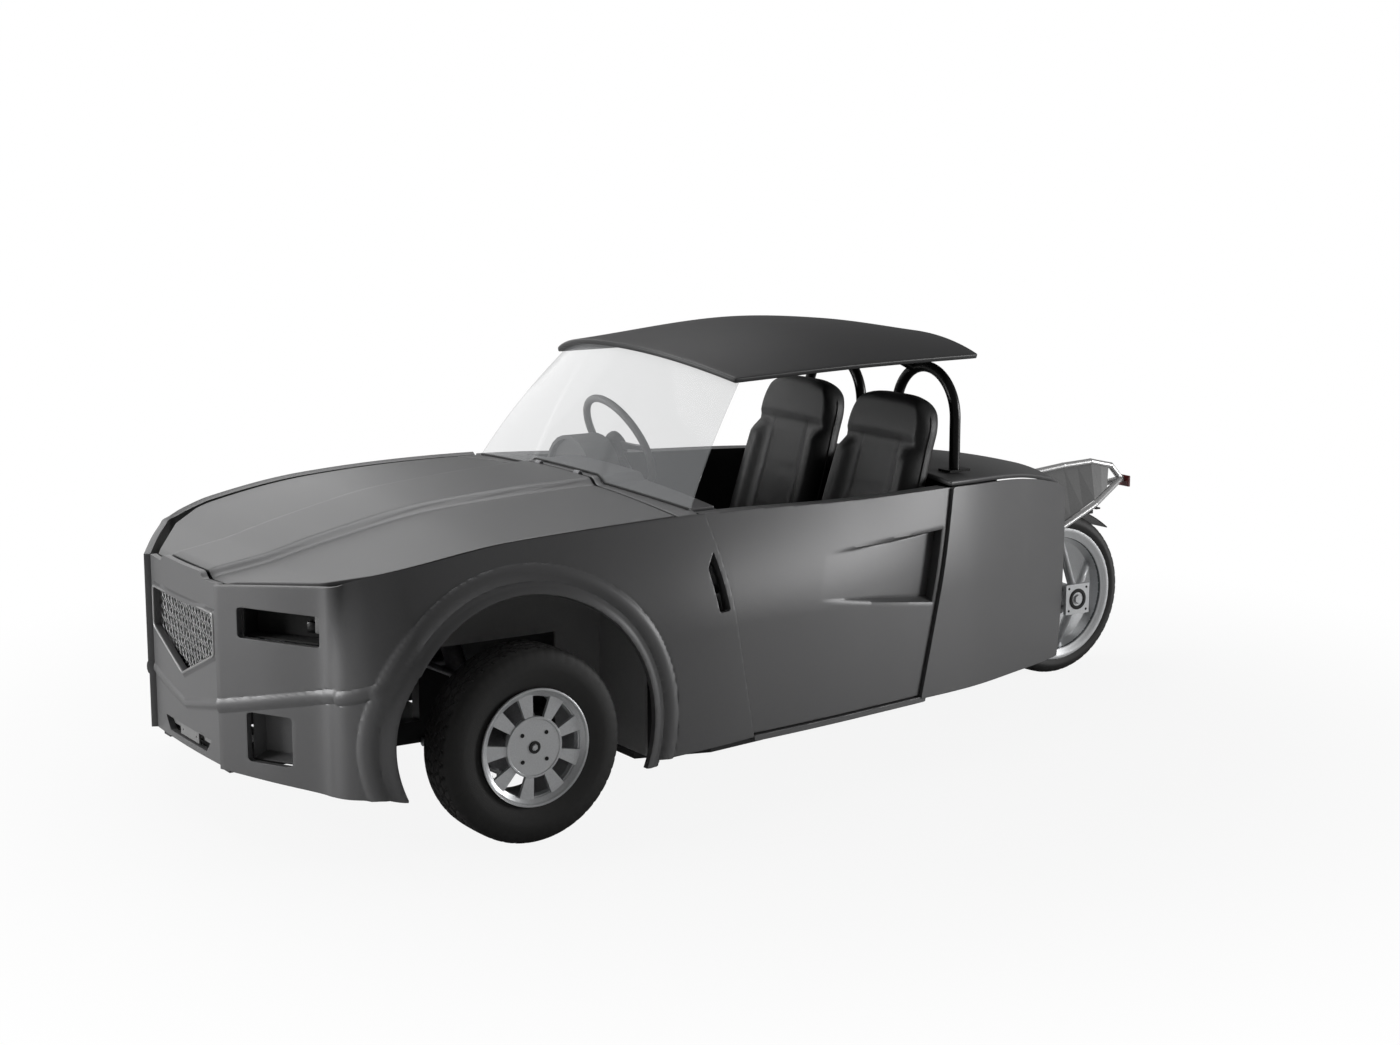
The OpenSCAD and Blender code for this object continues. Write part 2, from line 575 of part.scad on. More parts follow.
roof_rear_x = door_rear_x - 295;
roof_us = [0, 0.08, 0.2, 0.35, 0.5, 0.65, 0.8, 0.92, 1];
roof_ss = [-1, -0.9, -0.72, -0.48, -0.24, 0, 0.24, 0.48, 0.72, 0.9, 1];
function roof_half(u) = curve([[0, screen_top_half + 6], [0.45, 505], [1, 385]], u);
function roof_mid_z(u) = curve([[0, screen_mid_z + roof_t + 1], [0.4, roof_top],
  [0.7, roof_top - 20], [1, roof_top - 80]], u);
function roof_edge_z(u) = curve([[0, screen_corner_z + roof_t + 1], [0.45, roof_top - 122],
  [1, roof_top - 132]], u);
function roof_pt(u, s, t) =
  let(x0 = screen_head(s)[0] + 8, x1 = roof_rear_x + 12 * s * s)
  [mix(x0, x1, u), roof_half(u) * s,
   mix(roof_mid_z(u), roof_edge_z(u), pow(abs(s), 2.2)) - t];
module roof_panel() color([0.22, 0.22, 0.22]) car()
  slab([for (u = [len(roof_us) - 1:-1:0]) [for (s = roof_ss) roof_pt(roof_us[u], s, 0)]],
    [for (u = [len(roof_us) - 1:-1:0]) [for (s = roof_ss) roof_pt(roof_us[u], s, roof_t)]]);

// ================= cabin =================
wheel_centre = [-985, -seat_y, 985];
column_tilt = 27;          // column angle below the horizontal
function column_z(x) = wheel_centre[2] - (x - wheel_centre[0]) * tan(column_tilt);
module on_column() translate(wheel_centre) rotate([0, 90 + column_tilt, 0]) children();
dash_half = 620;
dash_top = 898.7;
column_r = 19;
column_start = 70;         // from the steering wheel to the start of the column
column_len = 550;
shaft_r = 11;
hood_x = -898;             // rear edge of the hood over the dials
hood_len = 120;
module hood_shape(grow) polygon([for (a = [0:15:180]) [(138 + grow) * cos(a), (113 + grow) * sin(a)]]);
module dashboard() color([0.08, 0.08, 0.08]) car() difference() {
  union() {
    // Main fascia, rounded along its lower edge
    rotate([90, 0, 0]) translate([0, 0, -dash_half]) linear_extrude(2 * dash_half)
      polygon([[-650, dash_top], [-790, dash_top], [-838, dash_top - 20], [-858, dash_top - 55],
        [-852, dash_top - 100], [-828, dash_top - 135], [-780, dash_top - 150],
        [-735, dash_top - 138], [-700, dash_top - 80]]);
    // Hood over the dials
    translate([hood_x, -seat_y, dash_top - eps]) rotate([90, 0, 90]) linear_extrude(hood_len)
      difference() {
        hood_shape(12);
        translate([0, -eps]) hood_shape(0);
      }
    // Dial face
    translate([hood_x + hood_len - 30, -seat_y, dash_top - eps]) rotate([90, 0, 90])
      linear_extrude(12) hood_shape(1);
  }
  on_column() translate([0, 0, 60]) cylinder(h = 320, r = column_r + seat_gap);
}
module steering_column() color([0.1, 0.1, 0.1]) car() difference() {
  union() {
    on_column() translate([0, 0, column_start]) cylinder(h = column_len, r = column_r);
    // Stalks
    for (s = [-1, 1])
      on_column() translate([0, 0, column_start + 12]) rotate([s * 90, 0, 0])
        translate([0, 0, 10]) cylinder(h = 120, r = 6);
  }
  on_column() translate([0, 0, column_start - eps]) cylinder(h = 110, r = shaft_r + run_fit);
}
spoke_w = 34;
module steering_wheel() color([0.15, 0.15, 0.15]) car() on_column() {
  ring_r = steering_wheel_d / 2 - 14;
  rotate_extrude() translate([ring_r, 0]) circle(r = 14);
  // Boss and shaft
  translate([0, 0, -6]) cylinder(h = 44, r = 46);
  cylinder(h = column_start + 95, r = shaft_r);
  // Three spokes: left, right and down
  for (a = [-90, 0, 90])
    rotate([0, 0, a]) translate([0, -spoke_w / 2, 4]) cube([ring_r, spoke_w, 10]);
}
tunnel_half = 32;
module centre_tunnel() color([0.1, 0.1, 0.1]) car() {
  block(bulkhead_x + 15, firewall_x - 0.4, -tunnel_half, tunnel_half, floor_top, floor_top + 170);
  // Gear lever and its knob
  translate([-1090, 0, floor_top + 160]) cylinder(h = 130, r = 8);
  translate([-1090, 0, floor_top + 300]) sphere(r = 24);
  // Parking brake
  tube([-1350, 0, floor_top + 165], [-1170, 0, floor_top + 215], 10);
}
module pedals() color([0.5, 0.5, 0.5]) car()
  for (y = [-seat_y - 80, -seat_y, -seat_y + 90]) {
    block(firewall_x - 26, firewall_x - seat_gap, y - 12, y + 12, 505, 535);
    tube([firewall_x - 16, y, 520], [-470, y, 330], 7);
    translate([-470, y, 330]) rotate([0, 65, 0]) translate([-35, -24, -4]) cube([70, 48, 8]);
  }

// Seat: a cushion on the floor and a reclined back, each with raised side rolls
seat_foot_z = floor_top + seat_gap;
seat_back_x = door_rear_x + 15;      // foot of the seat back's front face
recline = 17;
cushion_top = 440;
cushion_len = 500;
bolster_w = 70;
// Upright panel outline with round upper corners
function rounded(w, h, r) = concat([[-w / 2, 0], [w / 2, 0]],
  [for (a = [0:15:90]) [w / 2 - r + r * cos(a), h - r + r * sin(a)]],
  [for (a = [90:15:180]) [-w / 2 + r + r * cos(a), h - r + r * sin(a)]]);
back_t = 95;
module left_seat_shape() {
  back_len = (seat_top - cushion_top + 90) / cos(recline);
  translate([0, seat_y, 0]) {
    // Base under the cushion
    block(seat_back_x + 60, seat_back_x + cushion_len + 120, -seat_w / 2 + 30, seat_w / 2 - 30,
      seat_foot_z, cushion_top - 110);
    // Cushion
    translate([seat_back_x + 110, 0, cushion_top - 120]) rotate([0, -6, 0])
      translate([0, 0, 0]) {
        block(0, cushion_len, -seat_w / 2 + 8, seat_w / 2 - 8, 0, 95);
        for (s = [-1, 1])
          block(8, cushion_len - 40, s * (seat_w / 2 - bolster_w / 2 - 3) - bolster_w / 2,
            s * (seat_w / 2 - bolster_w / 2 - 3) + bolster_w / 2, 12, 135);
      }
    // Back
    translate([seat_back_x + 150 + 92, 0, cushion_top - 90]) rotate([0, -recline, 0])
      translate([0, 0, 0]) {
        translate([-back_t, 0, 0]) rotate([90, 0, 90]) linear_extrude(back_t)
          polygon(rounded(seat_w, back_len, 90));
        for (s = [-1, 1]) translate([-10, 0, 0])
          block(0, 50, s * (seat_w / 2 - 38) - 32, s * (seat_w / 2 - 38) + 32, 30, back_len - 150);
      }
  }
}
module left_seat() color([0.07, 0.07, 0.07]) car() left_seat_shape();
module right_seat() color([0.07, 0.07, 0.07]) car() right_side() left_seat_shape();

// ================= roll hoops =================
hoop_x = door_rear_x - 145;
hoop_half = 165;
hoop_r = hoop_tube_d / 2;
hoop_arch_r = hoop_half;
function deck_top(x, y) = shoulder_z(x) + seat_gap + deck_t
  + deck_crown * (1 - pow(y / (shoulder_y(x) - 4), 2));
module left_hoop_shape() {
  bend_z = hoop_top - hoop_r - hoop_arch_r;
  for (s = [-1, 1]) {
    y = seat_y + s * hoop_half;
    foot = deck_top(hoop_x, y);
    translate([hoop_x, y, foot + 8]) cylinder(h = bend_z - foot - 8, r = hoop_r);
    block(hoop_x - 45, hoop_x + 45, y - 32, y + 32, foot + 6.4, foot + 14);
  }
  translate([hoop_x, seat_y, bend_z]) rotate([90, 0, 90])
    rotate_extrude(angle = 180) translate([hoop_arch_r, 0]) circle(r = hoop_r);
  // Strut from the hoop up to the roof
  tube([hoop_x, seat_y - 60, hoop_top - 32], strut_head, 15);
}
strut_u = 0.72;
strut_s = 0.34;
strut_head = roof_pt(strut_u, strut_s, roof_t) + [0, 0, -18.2];
module left_roll_hoop() color([0.05, 0.05, 0.05]) car() left_hoop_shape();
module right_roll_hoop() color([0.05, 0.05, 0.05]) car() right_side() left_hoop_shape();

// ================= engine, rear frame and swingarm =================
engine = [380, 420, 430];
module engine_block() color([0.3, 0.3, 0.3]) car()
  block(bulkhead_x - 14 - engine[0], bulkhead_x - 14, -engine[1] / 2, engine[1] / 2, floor_top,
    floor_top + engine[2]);

arm_y = [-155, -118];      // swingarm's side member, right of the wheel
module rear_swingarm() color([0.2, 0.2, 0.2]) car() {
  // Pivot tube across the rear of the floor
  rod_y(pivot_x - 40, pivot_z, arm_y[0], 120, 26);
  // Side member and hub carrier
  block(rear_x, pivot_x - 40, arm_y[0], arm_y[1], pivot_z - 60, pivot_z + 10);
  rod_y(rear_x, rear_r, arm_y[0], arm_y[1], 70);
  // Axle
  rod_y(rear_x, rear_r, arm_y[1] - 10, 150, rear_axle_r);
  // Stays from the pivot to the floor
  for (y = [-90, 90])
    block(pivot_x - 45, pivot_x + 5, y - 12, y + 12, floor_top + seat_gap, pivot_z);
}

// ================= front suspension and steering =================
king_y = 690;              // steering axis
king_r = 11;
king_z = [175, 425];       // lower and upper ball joints
arm_h = 26;
steer_arm = 110;           // from the steering axis back to the track rod
arm_in = rail_y + rail_half + seat_gap;   // side of the tower that the arms pivot on
module rod_x(y, z, half, r) translate([-half, y, z]) rotate([0, 90, 0]) cylinder(h = 2 * half, r = r);
module wishbone(z) {
  difference() {
    union() {
      translate([0, king_y, z]) cylinder(h = arm_h, r = 26, center = true);
      for (s = [-1, 1])
        tube([s * 8, king_y - 20, z], [s * 60, arm_in + 14, z + 12], 11);
    }
    translate([0, king_y, z]) cylinder(h = arm_h + 20, r = king_r + run_fit, center = true);
  }
  // Pivot beside the tower
  rod_x(arm_in + 14, z + 12, 74, 14);
}
damper_top = 604;
module left_suspension_shape() {
  for (z = king_z) wishbone(z);
  // Spring and damper, from the lower arm to the tower
  tube([0, 560, king_z[0] + 8], [0, arm_in + 16, damper_top], 13);
  tube([0, 520, king_z[0] + 72], [0, arm_in + 52, damper_top - 72], 32);
  rod_x(arm_in + 15, damper_top, 20, 15);
  rod_x(548, king_z[0] + 6, 32, 12);
}
module left_suspension() color([0.35, 0.35, 0.35]) car() left_suspension_shape();
module right_suspension() color([0.35, 0.35, 0.35]) car() right_side() left_suspension_shape();

hub_z = front_r;
module left_knuckle_shape() {
  // Upright between the two arms, with a pin into each
  block(-30, 30, king_y - 24, king_y + 16, king_z[0] + arm_h / 2 + 1, king_z[1] - arm_h / 2 - 1);
  translate([0, king_y, king_z[0] - arm_h / 2 - 4])
    cylinder(h = king_z[1] - king_z[0] + arm_h + 8, r = king_r);
  for (z = [king_z[0] - arm_h / 2 - 9, king_z[1] + arm_h / 2 + 1])
    translate([0, king_y, z]) cylinder(h = 8, r = 18);
  // Brake disc and stub axle
  rod_y(0, hub_z, king_y + 14, king_y + 24, 105);
  rod_y(0, hub_z, king_y, tyre_y + 48, stub_r);
  // Steering arm, above the end of the track rod
  block(-steer_arm - 16, -20, king_y - 20, king_y + 4, rack_z + 16, rack_z + 30);
}
module left_knuckle() color([0.4, 0.4, 0.42]) car() left_knuckle_shape();
module right_knuckle() color([0.4, 0.4, 0.42]) car() right_side() left_knuckle_shape();
module track_rod() color([0.5, 0.5, 0.52]) car() {
  rod_y(rack_x, rack_z, -king_y + 60, king_y - 60, rack_bar_r);
  for (s = [-1, 1]) {
    translate([rack_x, s * (king_y - 60), rack_z]) sphere(r = 17);
    tube([rack_x, s * (king_y - 60), rack_z], [-steer_arm, s * (king_y - 8), rack_z - 2], 9);
    translate([-steer_arm, s * (king_y - 8), rack_z - 12]) cylinder(h = 22, r = 14);
  }
}

// ================= wheels =================
// Tyre section: rounded shoulders and a flat tread; r from the axle, w along it
function tyre_section(r_in, r_out, w) =
  let(h = r_out - r_in, c = w / 2)
  [[r_in, -c * 0.8], [r_in + h * 0.27, -c * 0.9], [r_in + h * 0.5, -c],
   [r_in + h * 0.75, -c * 0.96], [r_out - h * 0.1, -c * 0.87], [r_out - h * 0.02, -c * 0.74],
   [r_out, -c * 0.55], [r_out, c * 0.55], [r_out - h * 0.02, c * 0.74],
   [r_out - h * 0.1, c * 0.87], [r_in + h * 0.75, c * 0.96], [r_in + h * 0.5, c],
   [r_in + h * 0.27, c * 0.9], [r_in, c * 0.8]];
module around_y() rotate([-90, 0, 0]) children();
module tyre(d, rim_d, w) around_y()
  rotate_extrude($fn = 96) polygon(tyre_section(rim_d / 2 + seat_gap, d / 2, w));
module front_tyre() translate([0, tyre_y, hub_z]) tyre(front_tyre_d, front_rim_d, front_tyre_w);
module left_front_tyre() color([0.05, 0.05, 0.05]) car() front_tyre();
module right_front_tyre() color([0.05, 0.05, 0.05]) car() right_side() front_tyre();

front_spokes = 9;
hub_disc_r = 92;
module front_rim() translate([0, tyre_y, hub_z]) around_y() {
  seat = front_rim_d / 2;
  c = front_tyre_w / 2;
  difference() {
    union() {
      // Barrel with a lip at each side
      rotate_extrude($fn = 96) polygon([[seat - 9, -c * 0.84], [seat + 13, -c * 0.98 - 3],
        [seat + 13, -c * 0.98 + 1], [seat, -c * 0.84], [seat, c * 0.84],
        [seat + 13, c * 0.98 - 1], [seat + 13, c * 0.98 + 3], [seat - 9, c * 0.84]]);
      // Hub, centre disc and spokes that widen towards the rim
      translate([0, 0, -34]) cylinder(h = c + 22, r = 38);
      translate([0, 0, c - 24]) cylinder(h = 14, r = hub_disc_r);
      translate([0, 0, c - 24]) linear_extrude(12)
        for (i = [0:front_spokes - 1]) rotate(i * 360 / front_spokes)
          polygon([[hub_disc_r - 6, -13], [seat - 5, -25], [seat - 5, 25], [hub_disc_r - 6, 13]]);
    }
    translate([0, 0, -60]) cylinder(h = c + 26, r = stub_r + run_fit);
    for (a = [45:90:315])
      rotate(a) translate([57, 0, -eps]) cylinder(h = 200, r = 6.5);
  }
}
module left_front_rim() color([0.62, 0.62, 0.62]) car() front_rim();
module right_front_rim() color([0.62, 0.62, 0.62]) car() right_side() front_rim();

module rear_tyre() color([0.05, 0.05, 0.05]) car()
  translate([rear_x, 0, rear_r]) tyre(rear_tyre_d, rear_rim_d, rear_tyre_w);
rear_spokes = 7;
rear_bolt_r = 60;
hub_plate_y = 196;
module rear_rim() color([0.6, 0.6, 0.6]) car() translate([rear_x, 0, rear_r]) around_y() {
  seat = rear_rim_d / 2;
  c = rear_tyre_w / 2;
  difference() {
    union() {
      rotate_extrude($fn = 96) polygon([[seat - 10, -c * 0.84], [seat + 20, -c * 0.98],
        [seat + 20, -c * 0.98 + 4], [seat, -c * 0.84], [seat, c * 0.84],
        [seat + 20, c * 0.98 - 4], [seat + 20, c * 0.98], [seat - 16, c * 0.9],
        [seat - 28, c * 0.5], [seat - 12, c * 0.4], [seat - 10, 0]]);
      // Long hub that stands out of the wheel on the left
      translate([0, 0, -60]) cylinder(h = hub_plate_y + 61, r = 46);
      translate([-57, -57, hub_plate_y]) cube([114, 114, 14]);
      // Spokes slope from the end of the hub to the barrel
      for (i = [0:rear_spokes - 1]) rotate([0, 0, i * 360 / rear_spokes])
        tube([30, 0, hub_plate_y - 22], [seat - 22, 0, 44], 15);
    }
    translate([0, 0, -70]) cylinder(h = 225, r = rear_axle_r + run_fit);
    for (a = [45:90:315])
      rotate(a) translate([rear_bolt_r, 0, hub_plate_y - 12]) cylinder(h = 40, r = 5);
  }
}

// ================= tail =================
// Thin guard over the tyre: an arc flatter than the tyre, from the body to the rear
guard_r = 520;
guard_half = 72;
guard_t = 4;
guard_top = 645;
module rear_mudguard() color([0.1, 0.1, 0.1]) car() {
  translate([tail_x - 20, 0, guard_top - guard_r]) around_y() rotate([0, 0, 270 - 38])
    rotate_extrude(angle = 38, $fn = 96) translate([guard_r, -guard_half]) square([guard_t, 2 * guard_half]);
  // Stays up to the side tubes of the tail frame
  for (s = [-1, 1])
    for (b = [[68, 74, 598, 627], [68, 114, 621, 627]])
      block(side_bend[0] - 24, side_bend[0] - 4, min(s * b[0], s * b[1]), max(s * b[0], s * b[1]),
        b[2] - 640 + side_bend[2], b[3] - 640 + side_bend[2]);
}
tube_r = 12;
tail_tip = [-wheelbase - tail_reach + 24, 0, 706];
side_foot = [tail_x + 12, 128, 540];
side_bend = [-wheelbase - 165, 108, 640];
crest = [[tail_x - seat_gap - 1, 0, tail_top + 28], [-wheelbase - 95, 0, 781],
  [-wheelbase - 235, 0, 786], [-wheelbase - 340, 0, 762], tail_tip];
module chain(path, r) for (i = [0:len(path) - 2]) {
  $fn = 24;
  tube(path[i], path[i + 1], r);
  if (i > 0) translate(path[i]) sphere(r = r + 0.6);
}
cowl_t = 4;
function on_path(path, u) = let(n = len(path) - 1, i = min(n - 1, floor(u * n)))
  mix(path[i], path[i + 1], u * n - i);
side_path = [side_foot, side_bend, tail_tip];
cowl_us = [0.1, 0.25, 0.375, 0.5, 0.625, 0.72];
module tail_frame() color([0.8, 0.8, 0.8]) car() {
  chain(crest, tube_r);
  for (m = [0, 1]) mirror([0, m, 0]) {
    chain(side_path, tube_r);
    // Foot plate on the inside of the body's side
    block(side_foot[0] - 20, side_foot[0] + 30, side_foot[1] - 8, tail_half - panel_t - 0.6, 525, 555);
  }
  translate(tail_tip) sphere(r = tube_r + 3);
}
// Sheets between the crest tube and the side tubes, just clear of both
cowl_gap = tube_r + 1;
function heading(path, u) = let(n = len(path) - 1, i = min(n - 1, floor(u * n)), d = path[i + 1] - path[i])
  d / norm(d);
// Way along d that leaves the gap to a tube of the path measured square to the tube
function way(path, u, d) = cowl_gap
  / min(norm(cross(d, heading(path, u))), norm(cross(d, heading(path, max(0, u - 0.01)))));
function cowl_row(u, t) = let(a = on_path(crest, u), b = on_path(side_path, u),
    d = (b - a) / norm(b - a), out = [0, d[2], -d[1]] / norm([0, d[2], -d[1]]))
  [a + d * way(crest, u, d) - out * t, b - d * way(side_path, u, d) - out * t];
module left_tail_cowl_shape()
  slab([for (u = cowl_us) cowl_row(u, 0)], [for (u = cowl_us) cowl_row(u, cowl_t)]);
module left_tail_cowl() color([0.4, 0.4, 0.4]) car() left_tail_cowl_shape();
module right_tail_cowl() color([0.4, 0.4, 0.4]) car() right_side() left_tail_cowl_shape();
module tail_lamp() color([0.5, 0.1, 0.1]) car()
  translate([-wheelbase - tail_reach + 0.6, -30, tail_tip[2] - 30]) cube([8, 60, 42]);

floor_pan();
left_rail();
right_rail();
front_cross_member();
axle_cross_member();
rear_cross_member();
rack_housing();
firewall();
nose_panel();
grille_mesh();
front_number_plate();
bonnet();
left_fender();
right_fender();
left_lamp_pod();
right_lamp_pod();
left_wheel_well();
right_wheel_well();
left_door();
right_door();
left_rear_side();
right_rear_side();
rear_deck();
rear_bulkhead();
scuttle();
windscreen();
dashboard();
steering_column();
steering_wheel();
centre_tunnel();
pedals();
left_seat();
right_seat();
left_roll_hoop();
right_roll_hoop();
roof_panel();
engine_block();
left_suspension();
right_suspension();
left_knuckle();
right_knuckle();
track_rod();
left_front_tyre();
right_front_tyre();
left_front_rim();
right_front_rim();
rear_tyre();
rear_rim();
rear_swingarm();
rear_mudguard();
tail_frame();
left_tail_cowl();
right_tail_cowl();
tail_lamp();
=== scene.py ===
import math

import bmesh
import bpy
from mathutils import Matrix, Vector


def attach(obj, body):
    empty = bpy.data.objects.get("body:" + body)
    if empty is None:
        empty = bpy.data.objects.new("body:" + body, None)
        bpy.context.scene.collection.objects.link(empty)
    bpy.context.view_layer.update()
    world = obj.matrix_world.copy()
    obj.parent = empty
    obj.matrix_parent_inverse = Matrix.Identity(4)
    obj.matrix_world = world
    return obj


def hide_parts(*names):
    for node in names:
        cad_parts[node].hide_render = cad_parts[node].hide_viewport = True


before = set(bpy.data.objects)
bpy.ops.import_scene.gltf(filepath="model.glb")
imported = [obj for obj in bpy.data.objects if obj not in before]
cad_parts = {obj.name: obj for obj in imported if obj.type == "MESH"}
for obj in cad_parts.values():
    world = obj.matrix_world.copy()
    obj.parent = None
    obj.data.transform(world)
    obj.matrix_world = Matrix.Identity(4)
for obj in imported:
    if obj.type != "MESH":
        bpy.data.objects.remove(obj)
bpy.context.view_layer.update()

# ---- sizes, in millimetres with the front axle at x = 0, as the CAD draws them ----
SHIFT = 1194.0
TAIL_X, CORNER_X, NOSE_X = -2629.0, 525.0, 735.0
DOOR_FRONT, DOOR_REAR = -675.0, -1770.0
HIP, SHOULDER = 865.0, 765.0
TAIL_HALF, TAIL_TOP = 182.0, 738.0
QUARTER_X = TAIL_X + 350
DOOR_MID = DOOR_FRONT + (DOOR_REAR - DOOR_FRONT) * 0.57
SKIRT, FLARE = 165.0, 340.0
ARCH_R, ARCH_Z = 410.0, 330.0
SEAM_Y, NOSE_TOP, CORNER_TOP = 280.0, 763.0, 797.0
FACE_X, CHIN_Z = 727.0, 205.0    # where the front face meets the nose, and its lower edge
SIDE_H = 740.0                   # about the side's height, to turn a share of it into millimetres
ROOF_TOP = 1421.0
GAP = 9.0
PANEL, LID = 20.0, 14.0          # thickness of the body's panels, and of the bonnet and scuttle


def mm(p):
    return Vector(((p[0] + SHIFT) / 1000, p[1] / 1000, p[2] / 1000))


def mix(a, b, t):
    return a + (b - a) * t


def clamp(t):
    return min(1.0, max(0.0, t))


def smooth(t):
    t = clamp(t)
    return t * t * (3 - 2 * t)


def hermite(a, slope_a, b, slope_b, t):
    return (a * (2 * t**3 - 3 * t * t + 1) + slope_a * (t**3 - 2 * t * t + t)
            + b * (3 * t * t - 2 * t**3) + slope_b * (t**3 - t * t))


def curve(pts, x):
    """Smooth curve through the (x, value) points."""
    i = 0
    while i < len(pts) - 2 and x >= pts[i + 1][0]:
        i += 1

    def grade(j):
        a, b = max(j - 1, 0), min(j + 1, len(pts) - 1)
        return (pts[b][1] - pts[a][1]) / (pts[b][0] - pts[a][0])

    h = pts[i + 1][0] - pts[i][0]
    t = (x - pts[i][0]) / h
    return hermite(pts[i][1], grade(i) * h, pts[i + 1][1], grade(i + 1) * h, t)


def shoulder_y(x):
    return curve([(TAIL_X, TAIL_HALF), (QUARTER_X, 360), (DOOR_REAR - 60, 565), (DOOR_MID, 672),
                  (-660, SHOULDER - 18), (-300, SHOULDER + 4), (0, SHOULDER - 4),
                  (350, SHOULDER - 33), (CORNER_X, SHOULDER - 118)], x)


def belly_y(x):
    return curve([(TAIL_X, TAIL_HALF + 2), (QUARTER_X, 375), (DOOR_REAR - 60, 590),
                  (DOOR_MID, HIP - 135), (-750, HIP - 35), (-450, HIP - 5), (0, HIP),
                  (350, HIP - 32), (CORNER_X, HIP - 120)], x)


def shoulder_z(x):
    return curve([(TAIL_X, TAIL_TOP), (TAIL_X + 90, TAIL_TOP + 34), (QUARTER_X, 825),
                  (DOOR_REAR - 60, 866), (DOOR_MID, 880), (-660, 905), (0, 885), (350, CORNER_TOP + 38),
                  (CORNER_X, CORNER_TOP)], x)


def skirt_z(x):
    return curve([(TAIL_X, SKIRT - 72), (DOOR_REAR, SKIRT - 25), (-800, SKIRT), (0, SKIRT + 15),
                  (CORNER_X, SKIRT + 15)], x)


def depth_k(x, z):
    """Share of the side's height at z: 0 at the shoulder, 1 at the skirt."""
    return (shoulder_z(x) - z) / (shoulder_z(x) - skirt_z(x))


def side_y(x, z):
    return shoulder_y(x) + (belly_y(x) - shoulder_y(x)) * math.sin(
        math.pi / 2 * clamp((shoulder_z(x) - z) / FLARE))


def door_front(k):
    return DOOR_FRONT - 140 * k


def door_rear(k):
    return DOOR_REAR + 200 * k


def tail_end(k):
    return TAIL_X + 50 * k**3


def edge_half(x):
    if x < CORNER_X:
        return shoulder_y(x)
    return mix(shoulder_y(CORNER_X), SEAM_Y, (x - CORNER_X) / (NOSE_X - CORNER_X))


def edge_z(x):
    if x < CORNER_X:
        return shoulder_z(x)
    return mix(CORNER_TOP, NOSE_TOP, (x - CORNER_X) / (NOSE_X - CORNER_X))


def crown(x):
    return curve([(-800, 42), (-600, 36), (0, 20), (500, -4), (900, -4)], x)


def bulge_half(x):
    return mix(150, 215, (NOSE_X - x) / (NOSE_X + 585))


def top_z(x, y):
    bump = smooth((bulge_half(x) + 31 - abs(y)) / 36)
    return edge_z(x) + crown(x) * (1 - (y / edge_half(x)) ** 2) + 22 * bump


# ---- mesh helpers ----
def linked(name, data):
    ob = bpy.data.objects.new(name, data)
    bpy.context.collection.objects.link(ob)
    return ob


def new_object(name, verts, faces):
    me = bpy.data.meshes.new(name)
    me.from_pydata([tuple(v) for v in verts], [], faces)
    me.validate()
    return linked(name, me)


def steps(a, b, size):
    n = max(1, int(math.ceil(abs(b - a) / size)))
    return [a + (b - a) * i / n for i in range(n + 1)]


def trimmed(name, place, us, vs, keep=None, flip=False):
    """A sheet place(u, v) over the grid us x vs, cut off cleanly where keep(u, v) falls below zero."""
    verts, faces, index = [], [], {}
    level = [[keep(u, v) if keep else 1.0 for v in vs] for u in us]

    def node(i, j):
        if (i, j) not in index:
            index[(i, j)] = len(verts)
            verts.append(mm(place(us[i], vs[j])))
        return index[(i, j)]

    def cross(a, b):
        key = (min(a, b), max(a, b))
        if key not in index:
            p, q = Vector((us[a[0]], vs[a[1]])), Vector((us[b[0]], vs[b[1]]))
            lo, hi = (p, q) if level[a[0]][a[1]] > 0 else (q, p)
            for _ in range(9):
                mid = (lo + hi) / 2
                if keep(mid[0], mid[1]) > 0:
                    lo = mid
                else:
                    hi = mid
            index[key] = len(verts)
            verts.append(mm(place(lo[0], lo[1])))
        return index[key]

    for i in range(len(us) - 1):
        for j in range(len(vs) - 1):
            ring = [(i, j), (i + 1, j), (i + 1, j + 1), (i, j + 1)]
            inside = [level[a][b] > 0 for a, b in ring]
            if not any(inside):
                continue
            face = []
            for k in range(4):
                a, b = ring[k], ring[(k + 1) % 4]
                if inside[k]:
                    face.append(node(*a))
                if inside[k] != inside[(k + 1) % 4]:
                    face.append(cross(a, b))
            if len(face) > 2:
                faces.append(face[::-1] if flip else face)
    ob = new_object(name, verts, faces)
    bm = bmesh.new()
    bm.from_mesh(ob.data)
    bmesh.ops.remove_doubles(bm, verts=bm.verts, dist=1e-5)
    bm.to_mesh(ob.data)
    bm.free()
    return ob


def bake(ob, angle=32):
    """Applies the modifiers and leaves smooth faces with sharp edges above the angle."""
    dg = bpy.context.evaluated_depsgraph_get()
    me = bpy.data.meshes.new_from_object(ob.evaluated_get(dg))
    ob.modifiers.clear()
    ob.data = me
    me.polygons.foreach_set("use_smooth", [True] * len(me.polygons))
    me.set_sharp_from_angle(angle=math.radians(angle))
    return ob


def thicken(ob, thick, bevel=3.0, angle=32, seg=2):
    m = ob.modifiers.new("wall", "SOLIDIFY")
    m.thickness, m.offset = thick / 1000, -1
    m.use_even_offset = False
    if bevel:
        b = ob.modifiers.new("edge", "BEVEL")
        b.width, b.segments, b.limit_method = bevel / 1000, seg, "ANGLE"
        b.angle_limit = math.radians(50)
    return bake(ob, angle)


def mirrored(ob, name):
    me = ob.data.copy()
    me.transform(Matrix.Scale(-1, 4, (0, 1, 0)))
    me.flip_normals()
    return linked(name, me)


